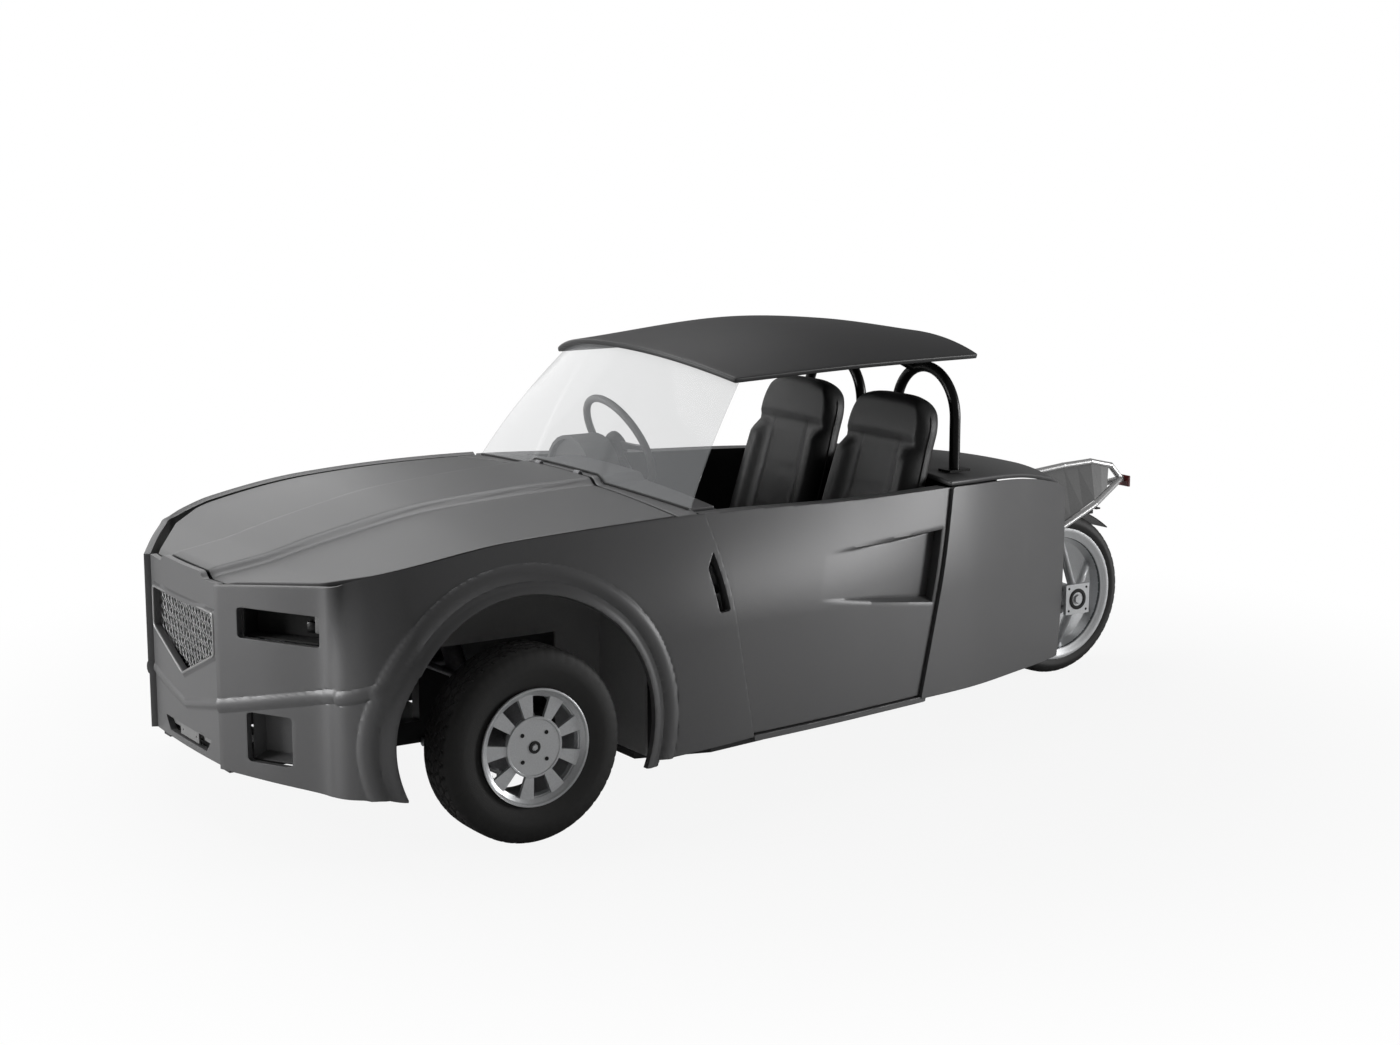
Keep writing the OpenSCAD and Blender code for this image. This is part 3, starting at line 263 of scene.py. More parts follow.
def lathe(name, profile, n=96, closed=True, place=None):
    """Turns (along, radius) points, in mm, about the Y axis."""
    verts, faces = [], []
    m = len(profile)
    for i in range(n):
        a = 2 * math.pi * i / n
        for y, r in profile:
            verts.append((r * math.sin(a), y, r * math.cos(a)))
    for i in range(n):
        for j in range(m if closed else m - 1):
            a, b = i * m + j, i * m + (j + 1) % m
            c, d = ((i + 1) % n) * m + (j + 1) % m, ((i + 1) % n) * m + j
            faces.append((a, d, c, b))
    shift = Vector(place or (0, 0, 0))
    ob = new_object(name, [mm(Vector(v) + shift) for v in verts], faces)
    fix_normals(ob)
    return ob


def fix_normals(ob):
    bm = bmesh.new()
    bm.from_mesh(ob.data)
    bmesh.ops.recalc_face_normals(bm, faces=bm.faces)
    bm.to_mesh(ob.data)
    bm.free()


def prism(name, outline, y0, y1, to=None, bevel=0.0, seg=2):
    """Extrudes an outline of (a, b) points from y0 to y1; to(a, b, y) places a point in mm."""
    to = to or (lambda a, b, y: (a, y, b))
    n = len(outline)
    verts = [mm(to(a, b, y0)) for a, b in outline] + [mm(to(a, b, y1)) for a, b in outline]
    faces = [tuple(range(n)), tuple(range(2 * n - 1, n - 1, -1))]
    faces += [(i, (i + 1) % n, n + (i + 1) % n, n + i) for i in range(n)]
    ob = new_object(name, verts, faces)
    fix_normals(ob)
    if bevel:
        b = ob.modifiers.new("edge", "BEVEL")
        b.width, b.segments, b.limit_method = bevel / 1000, seg, "ANGLE"
        b.angle_limit = math.radians(35)
        bake(ob)
    return ob


def rods(name, lines, r, resolution, closed=False, caps=False):
    """One smooth mesh of round rods of radius r along the lines of points."""
    cu = bpy.data.curves.new(name, "CURVE")
    cu.dimensions, cu.bevel_depth, cu.bevel_resolution = "3D", r / 1000, resolution
    cu.use_fill_caps = caps
    for points in lines:
        sp = cu.splines.new("POLY")
        sp.points.add(len(points) - 1)
        for q, p in zip(sp.points, points):
            q.co = (*mm(p), 1)
        sp.use_cyclic_u = closed
    path = linked(name + "_path", cu)
    me = bpy.data.meshes.new_from_object(path.evaluated_get(bpy.context.evaluated_depsgraph_get()))
    bpy.data.objects.remove(path)
    me.polygons.foreach_set("use_smooth", [True] * len(me.polygons))
    return linked(name, me)


def tube(name, points, r, closed=False, res=10):
    ob = rods(name, [points], r, res // 2, closed, caps=True)
    ob.data.set_sharp_from_angle(angle=math.radians(50))
    return ob


def joined(name, obs):
    with bpy.context.temp_override(active_object=obs[0], selected_editable_objects=obs,
                                   selected_objects=obs, object=obs[0]):
        bpy.ops.object.join()
    obs[0].name = name
    return obs[0]


# ---- materials ----
ROUGH_VARY = 0.08


def material(name, base, rough, metal, vary, scale, bump, bump_scale, spec=0.5, kind="noise"):
    """Principled surface with a fine pattern in its colour, roughness and height."""
    m = bpy.data.materials.new(name)
    m.use_nodes = True
    nt = m.node_tree
    p = nt.nodes["Principled BSDF"]
    p.inputs["Metallic"].default_value = metal
    p.inputs["Specular IOR Level"].default_value = spec
    at = nt.nodes.new("ShaderNodeTexCoord")
    noise = nt.nodes.new("ShaderNodeTexNoise")
    noise.inputs["Scale"].default_value = scale
    noise.inputs["Detail"].default_value = 6
    nt.links.new(at.outputs["Object"], noise.inputs["Vector"])
    ramp = nt.nodes.new("ShaderNodeValToRGB")
    dark, light = ramp.color_ramp.elements
    dark.color = (*[c * (1 - vary) for c in base], 1)
    light.color = (*[min(1, c * (1 + vary)) for c in base], 1)
    dark.position, light.position = 0.3, 0.7
    nt.links.new(noise.outputs["Fac"], ramp.inputs["Fac"])
    nt.links.new(ramp.outputs["Color"], p.inputs["Base Color"])
    gloss = nt.nodes.new("ShaderNodeMapRange")
    gloss.inputs["To Min"].default_value = max(0.02, rough - ROUGH_VARY)
    gloss.inputs["To Max"].default_value = min(1, rough + ROUGH_VARY)
    nt.links.new(noise.outputs["Fac"], gloss.inputs["Value"])
    nt.links.new(gloss.outputs["Result"], p.inputs["Roughness"])
    out = "Fac"
    if kind == "leather":
        tex = nt.nodes.new("ShaderNodeTexVoronoi")
        tex.feature = "DISTANCE_TO_EDGE"
        out = "Distance"
    elif kind == "weave":
        tex = nt.nodes.new("ShaderNodeTexWave")
        tex.inputs["Distortion"].default_value = 2
    else:
        tex = nt.nodes.new("ShaderNodeTexNoise")
        tex.inputs["Detail"].default_value = 3
    tex.inputs["Scale"].default_value = bump_scale
    nt.links.new(at.outputs["Object"], tex.inputs["Vector"])
    relief_node = nt.nodes.new("ShaderNodeBump")
    relief_node.inputs["Strength"].default_value = min(1, bump * 20)
    relief_node.inputs["Distance"].default_value = 0.0006
    nt.links.new(tex.outputs[out], relief_node.inputs["Height"])
    nt.links.new(relief_node.outputs["Normal"], p.inputs["Normal"])
    return m


PAINT = material("satin_grey_paint", (0.125, 0.125, 0.127), 0.42, 0.25, 0.10, 900, 0.012, 1500)
ROOF = material("dark_grey_paint", (0.036, 0.036, 0.037), 0.46, 0.1, 0.1, 900, 0.012, 1500)
WELL = material("well_grey", (0.4, 0.4, 0.4), 0.85, 0, 0.35, 1400, 0.05, 1400)
INNER = material("inner_black", (0.018, 0.018, 0.018), 0.8, 0, 0.2, 300, 0.03, 900)
FRAME = material("frame_black", (0.022, 0.022, 0.023), 0.5, 0.1, 0.2, 200, 0.02, 700)
MESH = material("mesh_silver", (0.3, 0.3, 0.3), 0.4, 0.6, 0.1, 200, 0.01, 900)
BLANK = material("plate_grey", (0.2, 0.2, 0.2), 0.5, 0.1, 0.1, 200, 0.01, 900)
DASH = material("dash_plastic", (0.13, 0.13, 0.13), 0.6, 0, 0.15, 300, 0.04, 900, kind="leather")
RIM_WRAP = material("wheel_wrap", (0.22, 0.22, 0.22), 0.55, 0, 0.15, 300, 0.03, 1100, kind="leather")
ALLOY = material("pedal_alloy", (0.42, 0.42, 0.42), 0.35, 0.9, 0.08, 200, 0.01, 900)
LEATHER = material("seat_leather", (0.012, 0.012, 0.0125), 0.42, 0, 0.2, 120, 0.05, 420, kind="leather")
THREAD = material("seat_thread", (0.03, 0.03, 0.03), 0.7, 0, 0.2, 900, 0.04, 2500, kind="weave")
HOOP = material("gloss_black_tube", (0.006, 0.006, 0.006), 0.3, 0, 0.2, 200, 0.004, 900, spec=0.35)
STEEL = material("brushed_steel", (0.3, 0.3, 0.31), 0.4, 0.9, 0.15, 150, 0.02, 600)
IRON = material("engine_cast", (0.08, 0.08, 0.08), 0.6, 0.6, 0.2, 150, 0.05, 300)
RUBBER = material("tyre_rubber", (0.012, 0.0115, 0.011), 0.62, 0, 0.25, 80, 0.04, 500)
WHEEL = material("rim_alloy", (0.66, 0.67, 0.68), 0.34, 0.6, 0.06, 200, 0.01, 800)
WHEEL_DARK = material("rim_shadow", (0.16, 0.17, 0.18), 0.4, 0.8, 0.1, 200, 0.01, 800)
SILVER = material("tail_silver", (0.62, 0.62, 0.62), 0.3, 0.6, 0.06, 200, 0.01, 800)
COWL = material("cowl_grey", (0.22, 0.22, 0.22), 0.45, 0.3, 0.1, 300, 0.01, 900)
# Pale grey for the upper face at the scoop's rear: a painted highlight on the body's grey paint
PAINTED_SCOOP_HIGHLIGHT = material("scoop_painted_highlight", (0.75, 0.75, 0.75), 0.5, 0, 0.04, 200, 0.01, 900)
LAMP = material("lamp_red", (0.12, 0.02, 0.02), 0.25, 0, 0.1, 200, 0.01, 600)


# Clear screen with a grey half-see-through layer; the grey layer is a painted reflection of the bright
# surroundings
def glass():
    m = material("screen_painted_reflection", (0.43, 0.44, 0.45), 0.08, 0, 0.02, 30, 0.0, 400)
    p = m.node_tree.nodes["Principled BSDF"]
    p.inputs["Alpha"].default_value = 0.21
    p.inputs["IOR"].default_value = 1.3
    m.surface_render_method = "BLENDED"
    return m


GLASS = glass()


def finish_as(ob, mat, body, slot, *nodes):
    ob.data.materials.clear()
    ob.data.materials.append(mat)
    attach(ob, body)
    if nodes:
        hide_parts(*nodes)
    return ob


# ---- fenders ----
def front_rows():
    """Rows of the front face and its corner: x, y, top, heading in degrees, flare, bottom."""
    cx = CORNER_X
    return [(FACE_X, SEAM_Y, NOSE_TOP, 0, 0, CHIN_Z),
            (mix(FACE_X, cx, 0.45), 455, mix(NOSE_TOP, CORNER_TOP, 0.5), 31, 0, 192),
            (mix(FACE_X, cx, 0.86), 600, CORNER_TOP - 4, 38, 0, 182),
            (cx, shoulder_y(cx) + 2, CORNER_TOP, 58, 12, 180),
            (cx - 32, shoulder_y(cx - 32), shoulder_z(cx - 32), 74, 52, 182),
            (cx - 85, shoulder_y(cx - 85), shoulder_z(cx - 85), 85, 84, 186)]


ROWS = front_rows()


def front_pt(r, k):
    z = mix(r[2], r[5], k)
    o = r[4] * math.sin(math.pi / 2 * min(1, (r[2] - z) / FLARE))
    a = math.radians(r[3])
    return Vector((r[0] + math.cos(a) * o, r[1] + math.sin(a) * o, z))


def side_pt(x, k):
    z = mix(shoulder_z(x), skirt_z(x), k)
    return Vector((x, side_y(x, z), z))


def row_pt(i, k):
    if i < len(ROWS):
        return front_pt(ROWS[max(0, i)], k)
    return side_pt(350 - 100 * (i - len(ROWS)), k)


def fender_base(r, k):
    if r >= len(ROWS):
        return row_pt(r, k)
    i = int(r)
    t = r - i
    a, b, c, d = row_pt(i - 1, k), row_pt(i, k), row_pt(i + 1, k), row_pt(i + 2, k)
    if i == 0:
        a = b + (b - c)
    return hermite(b, (c - a) / 2, c, (d - b) / 2, t)


def strip_z(p):
    """Height of the moulding that runs round the chin, rising from the middle to the arches."""
    y = abs(p[1])
    if p[0] > CORNER_X or y < 640:
        return curve([(0, 345), (280, 400), (640, 478), (700, 490)], min(y, 690))
    return 478 + (CORNER_X - p[0]) * 0.42


def moulding(dz):
    """How far the surface stands out at dz above the moulding's middle, with a step back below it."""
    return 4.5 * (smooth((dz + 14) / 7) - smooth((dz - 7) / 7)) - 3 * smooth((-dz - 10) / 12)


def relief(p):
    """How far the surface stands out, in mm: the arch bead, its lip and the moulding."""
    d = math.hypot(p[0], p[2] - ARCH_Z) - ARCH_R
    h = 0.0
    if p[0] < 520 and p[1] > 500:
        h += 7 * (smooth((d - 42) / 10) - smooth((d - 72) / 10)) + 4 * (1 - smooth((d - 6) / 14))
    if p[0] > 430:
        h += smooth((p[0] - 430) / 30) * moulding(p[2] - strip_z(p))
    return h


def fender_pt(r, k):
    p = fender_base(r, k)
    h = relief(p)
    if abs(h) > 0.01:
        e = 0.02
        n = (fender_base(r + e, k) - fender_base(r - e if r > e else r, k)).cross(
            fender_base(r, k + e) - fender_base(r, k - e))
        n.normalize()
        if n.y < 0 and n.x < 0 or n.y < -0.3:
            n = -n
        if n.x + n.y < 0:
            n = -n
        p = p + n * h
    return p


def inside_polygon(poly, a, b):
    """Distance to a convex outline, negative inside."""
    d = -1e9
    n = len(poly)
    for i in range(n):
        (x0, y0), (x1, y1) = poly[i], poly[(i + 1) % n]
        ex, ey = x1 - x0, y1 - y0
        d = max(d, ((a - x0) * ey - (b - y0) * ex) / math.hypot(ex, ey))
    return d


def round_rect(a, b, a0, a1, b0, b1, r):
    ca, cb, ha, hb = (a0 + a1) / 2, (b0 + b1) / 2, (a1 - a0) / 2 - r, (b1 - b0) / 2 - r
    qa, qb = abs(a - ca) - ha, abs(b - cb) - hb
    return math.hypot(max(qa, 0), max(qb, 0)) + min(max(qa, qb), 0) - r


HEAD = math.radians(31)     # how far the front face turns back from straight ahead


def face_along(p):
    return -(p[0] - FACE_X) * math.sin(HEAD) + (p[1] - SEAM_Y) * math.cos(HEAD)


# The leaning slot behind the wheel, as (-x, z)
VENT = [(634, 748), (660, 614), (706, 616), (683, 720), (668, 796)]


def fender_keep(r, k):
    p = fender_base(r, k)
    level = math.hypot(p[0], p[2] - ARCH_Z) - ARCH_R
    if p[0] > 480:
        a = face_along(p)
        lamp = round_rect(a, p[2], 85, 385, 616, 708, 10)
        duct = round_rect(a, p[2], 107.5, 272.5, 245, 395, 12)
        level = min(level, lamp, duct)
    if p[0] < -500:
        level = min(level, p[0] - (door_front(depth_k(p[0], p[2])) + GAP))
    if p[0] < -430:
        level = min(level, (0.972 + (p[0] + 480) * 0.00006 - k) * SIDE_H)
        level = min(level, inside_polygon(VENT, -p[0], p[2]))
    return level


fender = trimmed("left_fender_skin", fender_pt, steps(0, 6, 0.1)[:-1] + steps(6, 17.9, 0.08),
                 steps(0, 1, 0.0105), fender_keep)
thicken(fender, PANEL, 5, 34, 3)
fender_r = mirrored(fender, "right_fender_skin")
finish_as(fender, PAINT, "chassis", "body_paint", "left_fender")
finish_as(fender_r, PAINT, "chassis", "body_paint", "right_fender")


# ---- pockets of the front face ----
def on_face(along, z, deep):
    s, c = math.sin(HEAD), math.cos(HEAD)
    return Vector((FACE_X - s * along - c * deep, SEAM_Y + c * along - s * deep, z))


def funnel(name, along, z, front, back, near, far, wall):
    """Open box behind the front face that narrows from front to back, each (width, height)."""
    loops, corners = [], ((-1, -1), (1, -1), (1, 1), (-1, 1))
    for (w, h), deep in ((front, near), ((front[0] - 2 * wall, front[1] - 2 * wall), near),
                         ((back[0] - 2 * wall, back[1] - 2 * wall), far - wall), (back, far)):
        loops += [on_face(along + a * w / 2, z + b * h / 2, deep) for a, b in corners]
    faces = [(8, 9, 10, 11), (12, 15, 14, 13)]
    for q in (0, 4):
        faces += [(q + i, q + (i + 1) % 4, q + 4 + (i + 1) % 4, q + 4 + i) for i in range(4)]
    faces += [(i, 12 + i, 12 + (i + 1) % 4, (i + 1) % 4) for i in range(4)]
    ob = new_object(name, [mm(p) for p in loops], faces)
    fix_normals(ob)
    return ob


def face_block(name, along, z, w, h, near, far, bevel=2.0):
    """Block w by h behind the front face, between the depths near and far."""
    outline = [(-w / 2, -h / 2), (w / 2, -h / 2), (w / 2, h / 2), (-w / 2, h / 2)]
    return prism(name, outline, near, far, to=lambda a, b, deep: on_face(along + a, z + b, deep),
                 bevel=bevel)


for name, mat, make in (
        ("duct_funnel", PAINT, lambda n: funnel(n, 190, 320, (164, 149), (134, 118), 5, 46, 2.5)),
        ("lamp_mask", INNER, lambda n: face_block(n, 235, 662, 296, 88, 70, 75)),
        ("lamp_unit", BLANK, lambda n: face_block(n, 341, 668, 44, 58, 30, 68, 5)),
        ("lamp_body", HOOP, lambda n: face_block(n, 296, 652, 30, 34, 44, 69, 4))):
    left, slot = make("left_" + name), "body_paint" if mat is PAINT else "inner_black"
    finish_as(left, mat, "chassis", slot)
    finish_as(mirrored(left, "right_" + name), mat, "chassis", slot)


# Black sheet at the back of the opening round the plate: painted shade where the opening lies in shade
mouth_shade_sheet = prism("mouth_shade_sheet", [(690, 212), (696, 212), (696, 282), (690, 282)], -188, 188)
finish_as(mouth_shade_sheet, INNER, "chassis", "inner_black")


# ---- nose ----
GRILLE = [(0, 445), (243, 545), (243, 665), (-243, 665), (-243, 545)]
MOUTH = [(-150, 225), (150, 225), (190, 268), (-190, 268)]


def nose_front(y):
    return NOSE_X - 8 * (y / SEAM_Y) ** 2


def nose_pt(y, k):
    z = mix(CHIN_Z, top_z(NOSE_X, y), k)
    p = Vector((nose_front(y), y, z))
    h = moulding(z - strip_z(p))
    # Raised frame round the grille
    h += 5 * (1 - smooth((inside_polygon(GRILLE, y, z) - 12) / 5))
    return p + Vector((h, 0, 0))


def nose_keep(y, k):
    z = mix(CHIN_Z, top_z(NOSE_X, y), k)
    return min(inside_polygon(GRILLE, y, z), inside_polygon(MOUTH, y, z))


nose = trimmed("nose_skin", nose_pt, steps(-278, 278, 5), steps(0, 1, 0.009), nose_keep)
thicken(nose, PANEL, 4, 34, 3)
finish_as(nose, PAINT, "chassis", "body_paint", "nose_panel")


def grille_lines():
    """Criss-cross strands behind the grille opening, waving over and under each other."""
    pieces, pitch = [], 17.0
    for lean in (1, -1):
        c = -720.0
        while c < 720:
            pts = []
            for t in steps(-330, 330, 4.5):
                y, z = t, 560 + lean * t * 1.15 + c
                if inside_polygon(GRILLE, y, z) < 7:
                    turn = 0 if lean > 0 else math.pi
                    wave = 1.9 * math.sin(math.pi * (t / pitch) + turn + c / pitch)
                    pts.append((NOSE_X - 26 + wave, y, z))
                elif len(pts) > 2:
                    pieces.append(pts)
                    pts = []
            if len(pts) > 2:
                pieces.append(pts)
            c += pitch * 1.52
    return pieces


finish_as(rods("grille_wire", grille_lines(), 2.1, 1), MESH, "chassis", "mesh_silver", "grille_mesh")
# Black plate behind the wires: painted shade for the dark space behind the grille
back = prism("grille_shade_backing", GRILLE, NOSE_X - 33, NOSE_X - 31,
             to=lambda a, b, y: (y, a * 1.03, 555 + (b - 555) * 1.04))
finish_as(back, INNER, "chassis", "mesh_silver")


def ring_outline(poly, r, n=5):
    """The outline with its corners rounded."""
    out = []
    m = len(poly)
    for i in range(m):
        p, q, s = Vector(poly[i - 1]), Vector(poly[i]), Vector(poly[(i + 1) % m])
        a, b = (p - q).normalized(), (s - q).normalized()
        for j in range(n + 1):
            t = j / n
            u = q + a * r * (1 - t) ** 2 + b * r * t ** 2
            out.append((u.x, u.y))
    return out


rim_line = [(nose_front(y) + 4.5, y, z) for y, z in ring_outline(
    [(0, 439), (248, 541), (248, 670), (-248, 670), (-248, 541)], 14)]
finish_as(tube("grille_rim", rim_line, 4.5, closed=True), MESH, "chassis", "mesh_silver")


# ---- bonnet and scuttle ----
def bonnet_half(x):
    return edge_half(x) - (PANEL + GAP) * mix(1, 2.25, clamp((x - CORNER_X + 110) / 110))


def bonnet_pt(x, s):
    y = s * (bonnet_half(x) + 3.5)
    z = top_z(x, y)
    # Soft roll-off at the front edge
    z -= 5 * smooth((x - 672) / 30) ** 2
    return Vector((x, y, z))


FRONT = NOSE_X - 28 - GAP + 4    # the bonnet's front edge
half_steps = [round(v, 5) for v in steps(0, 1, 0.018)]
cols = [-v for v in half_steps[:0:-1]] + half_steps

bonnet = trimmed("bonnet_skin", bonnet_pt, steps(-580, FRONT, 10), cols)
thicken(bonnet, LID, 2.5, 34, 3)
finish_as(bonnet, PAINT, "bonnet", "body_paint", "bonnet")
knuckles = []
for y in (-130, 130):
    sleeve = [(y - 17, 4.2), (y - 17, 7.2), (y - 16, 8), (y + 16, 8), (y + 17, 7.2), (y + 17, 4.2)]
    knuckles.append(lathe("bonnet_hinge", sleeve, 32, True, (-585, 0, 962.6)))
hinge = joined("bonnet_hinges", knuckles)
bake(hinge)
finish_as(hinge, STEEL, "bonnet", "suspension_steel")


def scuttle_half(x):
    return shoulder_y(x) - 72 if x < DOOR_FRONT + 5 else shoulder_y(x) - 20.4


def scuttle_pt(x, s):
    y = s * mix(scuttle_half(-700), scuttle_half(-600), smooth((x + 673) / 10)) * (
        shoulder_y(x) / shoulder_y(-650))
    return Vector((x, y, top_z(x, y)))


scuttle = trimmed("scuttle_skin", scuttle_pt, steps(-770, -590, 6), cols)
thicken(scuttle, LID, 3, 34, 2)
finish_as(scuttle, PAINT, "chassis", "body_paint", "scuttle")


# Black strip below the seams, outside the bonnet's side edges and under its front edge: painted shade seen
# through the gaps
seam_path = [(x, bonnet_half(x)) for x in steps(-560, FRONT - 30, 12)]
seam_path += [(FRONT - 4, y) for y in steps(seam_path[-1][1] - 12, 0, 12)]
seam_path += [(x, -y) for x, y in seam_path[-2::-1]]
verts = []
for x, y in seam_path:
    at_front = x > FRONT - 20
    for out in (-10 if at_front else 10, 22):
        px, py = (x + out, y) if at_front else (x, y + math.copysign(out, y))
        verts.append(mm((px, py, top_z(x, y) - 40)))
faces = [(i, i + 1, i + 3, i + 2) for i in range(0, len(verts) - 2, 2)]
seam_shade_strip = new_object("bonnet_seam_painted_shade", verts, faces)
fix_normals(seam_shade_strip)
thicken(seam_shade_strip, 2, 0)
finish_as(seam_shade_strip, INNER, "chassis", "inner_black")


# ---- doors and rear sides ----
SCOOP_TOP, SCOOP_LEAN = 742.0, 66.0 / 247.0
SCOOP_X = door_rear(0.17) + 13    # the scoop's rear edge, at its top


def scoop_lean(z):
    """How far the scoop's rear edge has moved forward at z."""
    return (SCOOP_TOP - z) * SCOOP_LEAN


def scoop_depth(x, z):
    """The wedge that sinks towards the rear edge of the door."""
    x1 = SCOOP_X + scoop_lean(z)
    x0 = -1113.0 + 50 * clamp((735 - z) / 150) - 30
    t = (x0 - x) / (x0 - x1)
    if t <= 0 or x < x1:
        return 0.0
    lo, hi = mix(585, 495, t), mix(735, SCOOP_TOP, t)
    return 45 * (0.35 * t + 0.65 * t * t) * smooth((z - lo) / 10) * smooth((hi - z) / 10)


def door_pt(x, z):
    return Vector((x, side_y(x, z) - scoop_depth(x, z), z))


def door_keep(x, z):
    k = depth_k(x, z)
    return min(door_front(k) + 1.5 - x, x - door_rear(k) + 2.5, k * SIDE_H, (0.94 - k) * SIDE_H)


def shear(u, z):
    """Door columns lean with the scoop's rear edge."""
    return u + scoop_lean(z) * clamp((-1100 - u) / 300)


def row(u, v):
    """Door rows lean with the scoop's lower edge, which runs through z = 540 at its middle."""
    t = clamp((-1093 - shear(u, 540)) / (-1147 - SCOOP_X))
    return v + (45 - 90 * t) * max(0.0, 1 - abs(v - 540) / (150 if v > 540 else 240))


def door_grid(u, v):
    z = row(u, v)
    return shear(u, z), z


door_us = (steps(-620, -1100, 8)[:-1] + steps(-1100, SCOOP_X + 0.3, 6.5) + [SCOOP_X - 0.3]
           + steps(SCOOP_X - 6, -1990, 7))
door = trimmed("left_door_skin", lambda u, v: door_pt(*door_grid(u, v)), door_us, steps(160, 910, 6),
               lambda u, v: door_keep(*door_grid(u, v)), flip=True)
thicken(door, 8, 3, 30, 2)


# Inner shell of the door, and the strip round its edge that joins it to the skin
def inner_pt(x, z):
    return Vector((x, side_y(x, z) - 59, z))


inner = trimmed("left_door_inner", inner_pt, steps(-670, -1780, 30), steps(160, 910, 20), door_keep)
door_edge = []
for k in steps(0, 0.93, 0.03):
    door_edge.append((door_front(k), k))
for x in steps(door_front(0.93), door_rear(0.93), 25)[1:-1]:
    door_edge.append((x, 0.93))
for k in steps(0.93, 0, 0.03):
    door_edge.append((door_rear(k), k))
for x in steps(door_rear(0), door_front(0), 25)[1:-1]:
    door_edge.append((x, 0.0))
verts, faces = [], []
for x, k in door_edge:
    z = mix(shoulder_z(x), skirt_z(x), k)
    for t in (1.0, 59.0):
        verts.append(mm((x, side_y(x, z) - t, z)))
n = len(door_edge)
for i in range(n):
    j = (i + 1) % n
    faces.append((2 * i, 2 * i + 1, 2 * j + 1, 2 * j))
edge = new_object("left_door_edge", verts, faces)
fix_normals(edge)
bake(inner)
bake(edge)


# Face at the scoop's rear in two tones: a pale upper part that is a painted highlight, and a black lower
# part that is painted shade
def scoop_face(name, z0, z1, d0, d1):
    verts = []
    for z in (z0, z1):
        x = SCOOP_X + scoop_lean(z) + 1.0
        for d in (d0, d1):
            for dx in (0, 2.5):
                verts.append(mm((x + dx, side_y(x, z) - d, z)))
    faces = [(0, 1, 3, 2), (4, 6, 7, 5), (0, 4, 5, 1), (2, 3, 7, 6), (0, 2, 6, 4), (1, 5, 7, 3)]
    ob = new_object(name, verts, faces)
    fix_normals(ob)
    return ob


lip = scoop_face("left_scoop_lip", 598, 733, 4, 24)
dark = scoop_face("left_scoop_throat", 502, 597, 4, 30)
for side, sign in (("left", 1), ("right", -1)):
    parts = [door, inner, edge, lip, dark]
    if sign < 0:
        parts = [mirrored(p, p.name.replace("left", "right")) for p in parts]
    body = side + "_door"
    finish_as(parts[0], PAINT, body, "body_paint", body)
    finish_as(parts[1], INNER, body, "body_paint")
    finish_as(parts[2], PAINT, body, "body_paint")
    # The pale upper face is a painted highlight and the black lower face is painted shade
    finish_as(parts[3], PAINTED_SCOOP_HIGHLIGHT, body, "body_paint")
    finish_as(parts[4], INNER, body, "body_paint")


def rear_keep(x, z):
    k = depth_k(x, z)
    foot = 0.955 + 0.025 * clamp((door_rear(k) - x) / 885)
    return min(door_rear(k) - GAP + 2.5 - x, x - tail_end(clamp(k)), k * SIDE_H, (foot - k) * SIDE_H)


def rear_pt(x, z):
    return Vector((x, side_y(x, z), z))


rear = trimmed("left_rear_skin", rear_pt, steps(-1560, TAIL_X, 8), steps(85, 905, 7), rear_keep, flip=True)
thicken(rear, PANEL, 5, 34, 3)


def sill_keep(x, z):
    k = depth_k(x, z)
    return min(door_front(k) + GAP - 0.6 - x, x - door_rear(k) + GAP + 20,
               (k - 0.948) * SIDE_H, (0.974 - k) * SIDE_H)


sill = trimmed("left_sill_skin", lambda x, z: rear_pt(x, z) - Vector((0, 22, 0)),
               steps(-780, -1620, 12), steps(130, 230, 4), sill_keep, flip=True)
thicken(sill, 38, 4, 34, 2)
finish_as(rear, PAINT, "chassis", "body_paint", "left_rear_side")
finish_as(mirrored(rear, "right_rear_skin"), PAINT, "chassis", "body_paint", "right_rear_side")
finish_as(sill, PAINT, "chassis", "body_paint")
finish_as(mirrored(sill, "right_sill_skin"), PAINT, "chassis", "body_paint")


def deck_pt(x, s):
    return Vector((x, s * (shoulder_y(x) - 4), shoulder_z(x) + 18.4 + 30 * (1 - s * s)))


deck = trimmed("deck_skin", deck_pt, steps(TAIL_X, DOOR_REAR - 22, 12), steps(-1, 1, 0.04))
thicken(deck, 18, 6, 34, 3)
finish_as(deck, PAINT, "chassis", "body_paint", "rear_deck")


# ---- windscreen and roof ----
def screen_foot(s):
    x, y = -607 - 52 * s * s, 690 * s
    return Vector((x, y, top_z(x, y) + 1.2))


def screen_head(s):
    return Vector((-808 - 112 * s * s, 565 * s, mix(ROOF_TOP - 78, ROOF_TOP - 151, s * s)))


def screen_pt(s, k):
    p = screen_foot(s).lerp(screen_head(s), k)
    b = math.sin(math.pi * k)
    return p + Vector((14 * b, 6 * b * s, 0))


screen = trimmed("screen_sheet", screen_pt, steps(-1, 1, 0.025), steps(0, 1.04, 0.04))
thicken(screen, 5, 1.0, 34, 1)
finish_as(screen, GLASS, "chassis", "screen_glass", "windscreen")
seal = tube("screen_seal", [screen_foot(s) + Vector((-3, 0, 2.5)) for s in steps(-0.99, 0.99, 0.03)], 3.5)
finish_as(seal, INNER, "chassis", "inner_black")


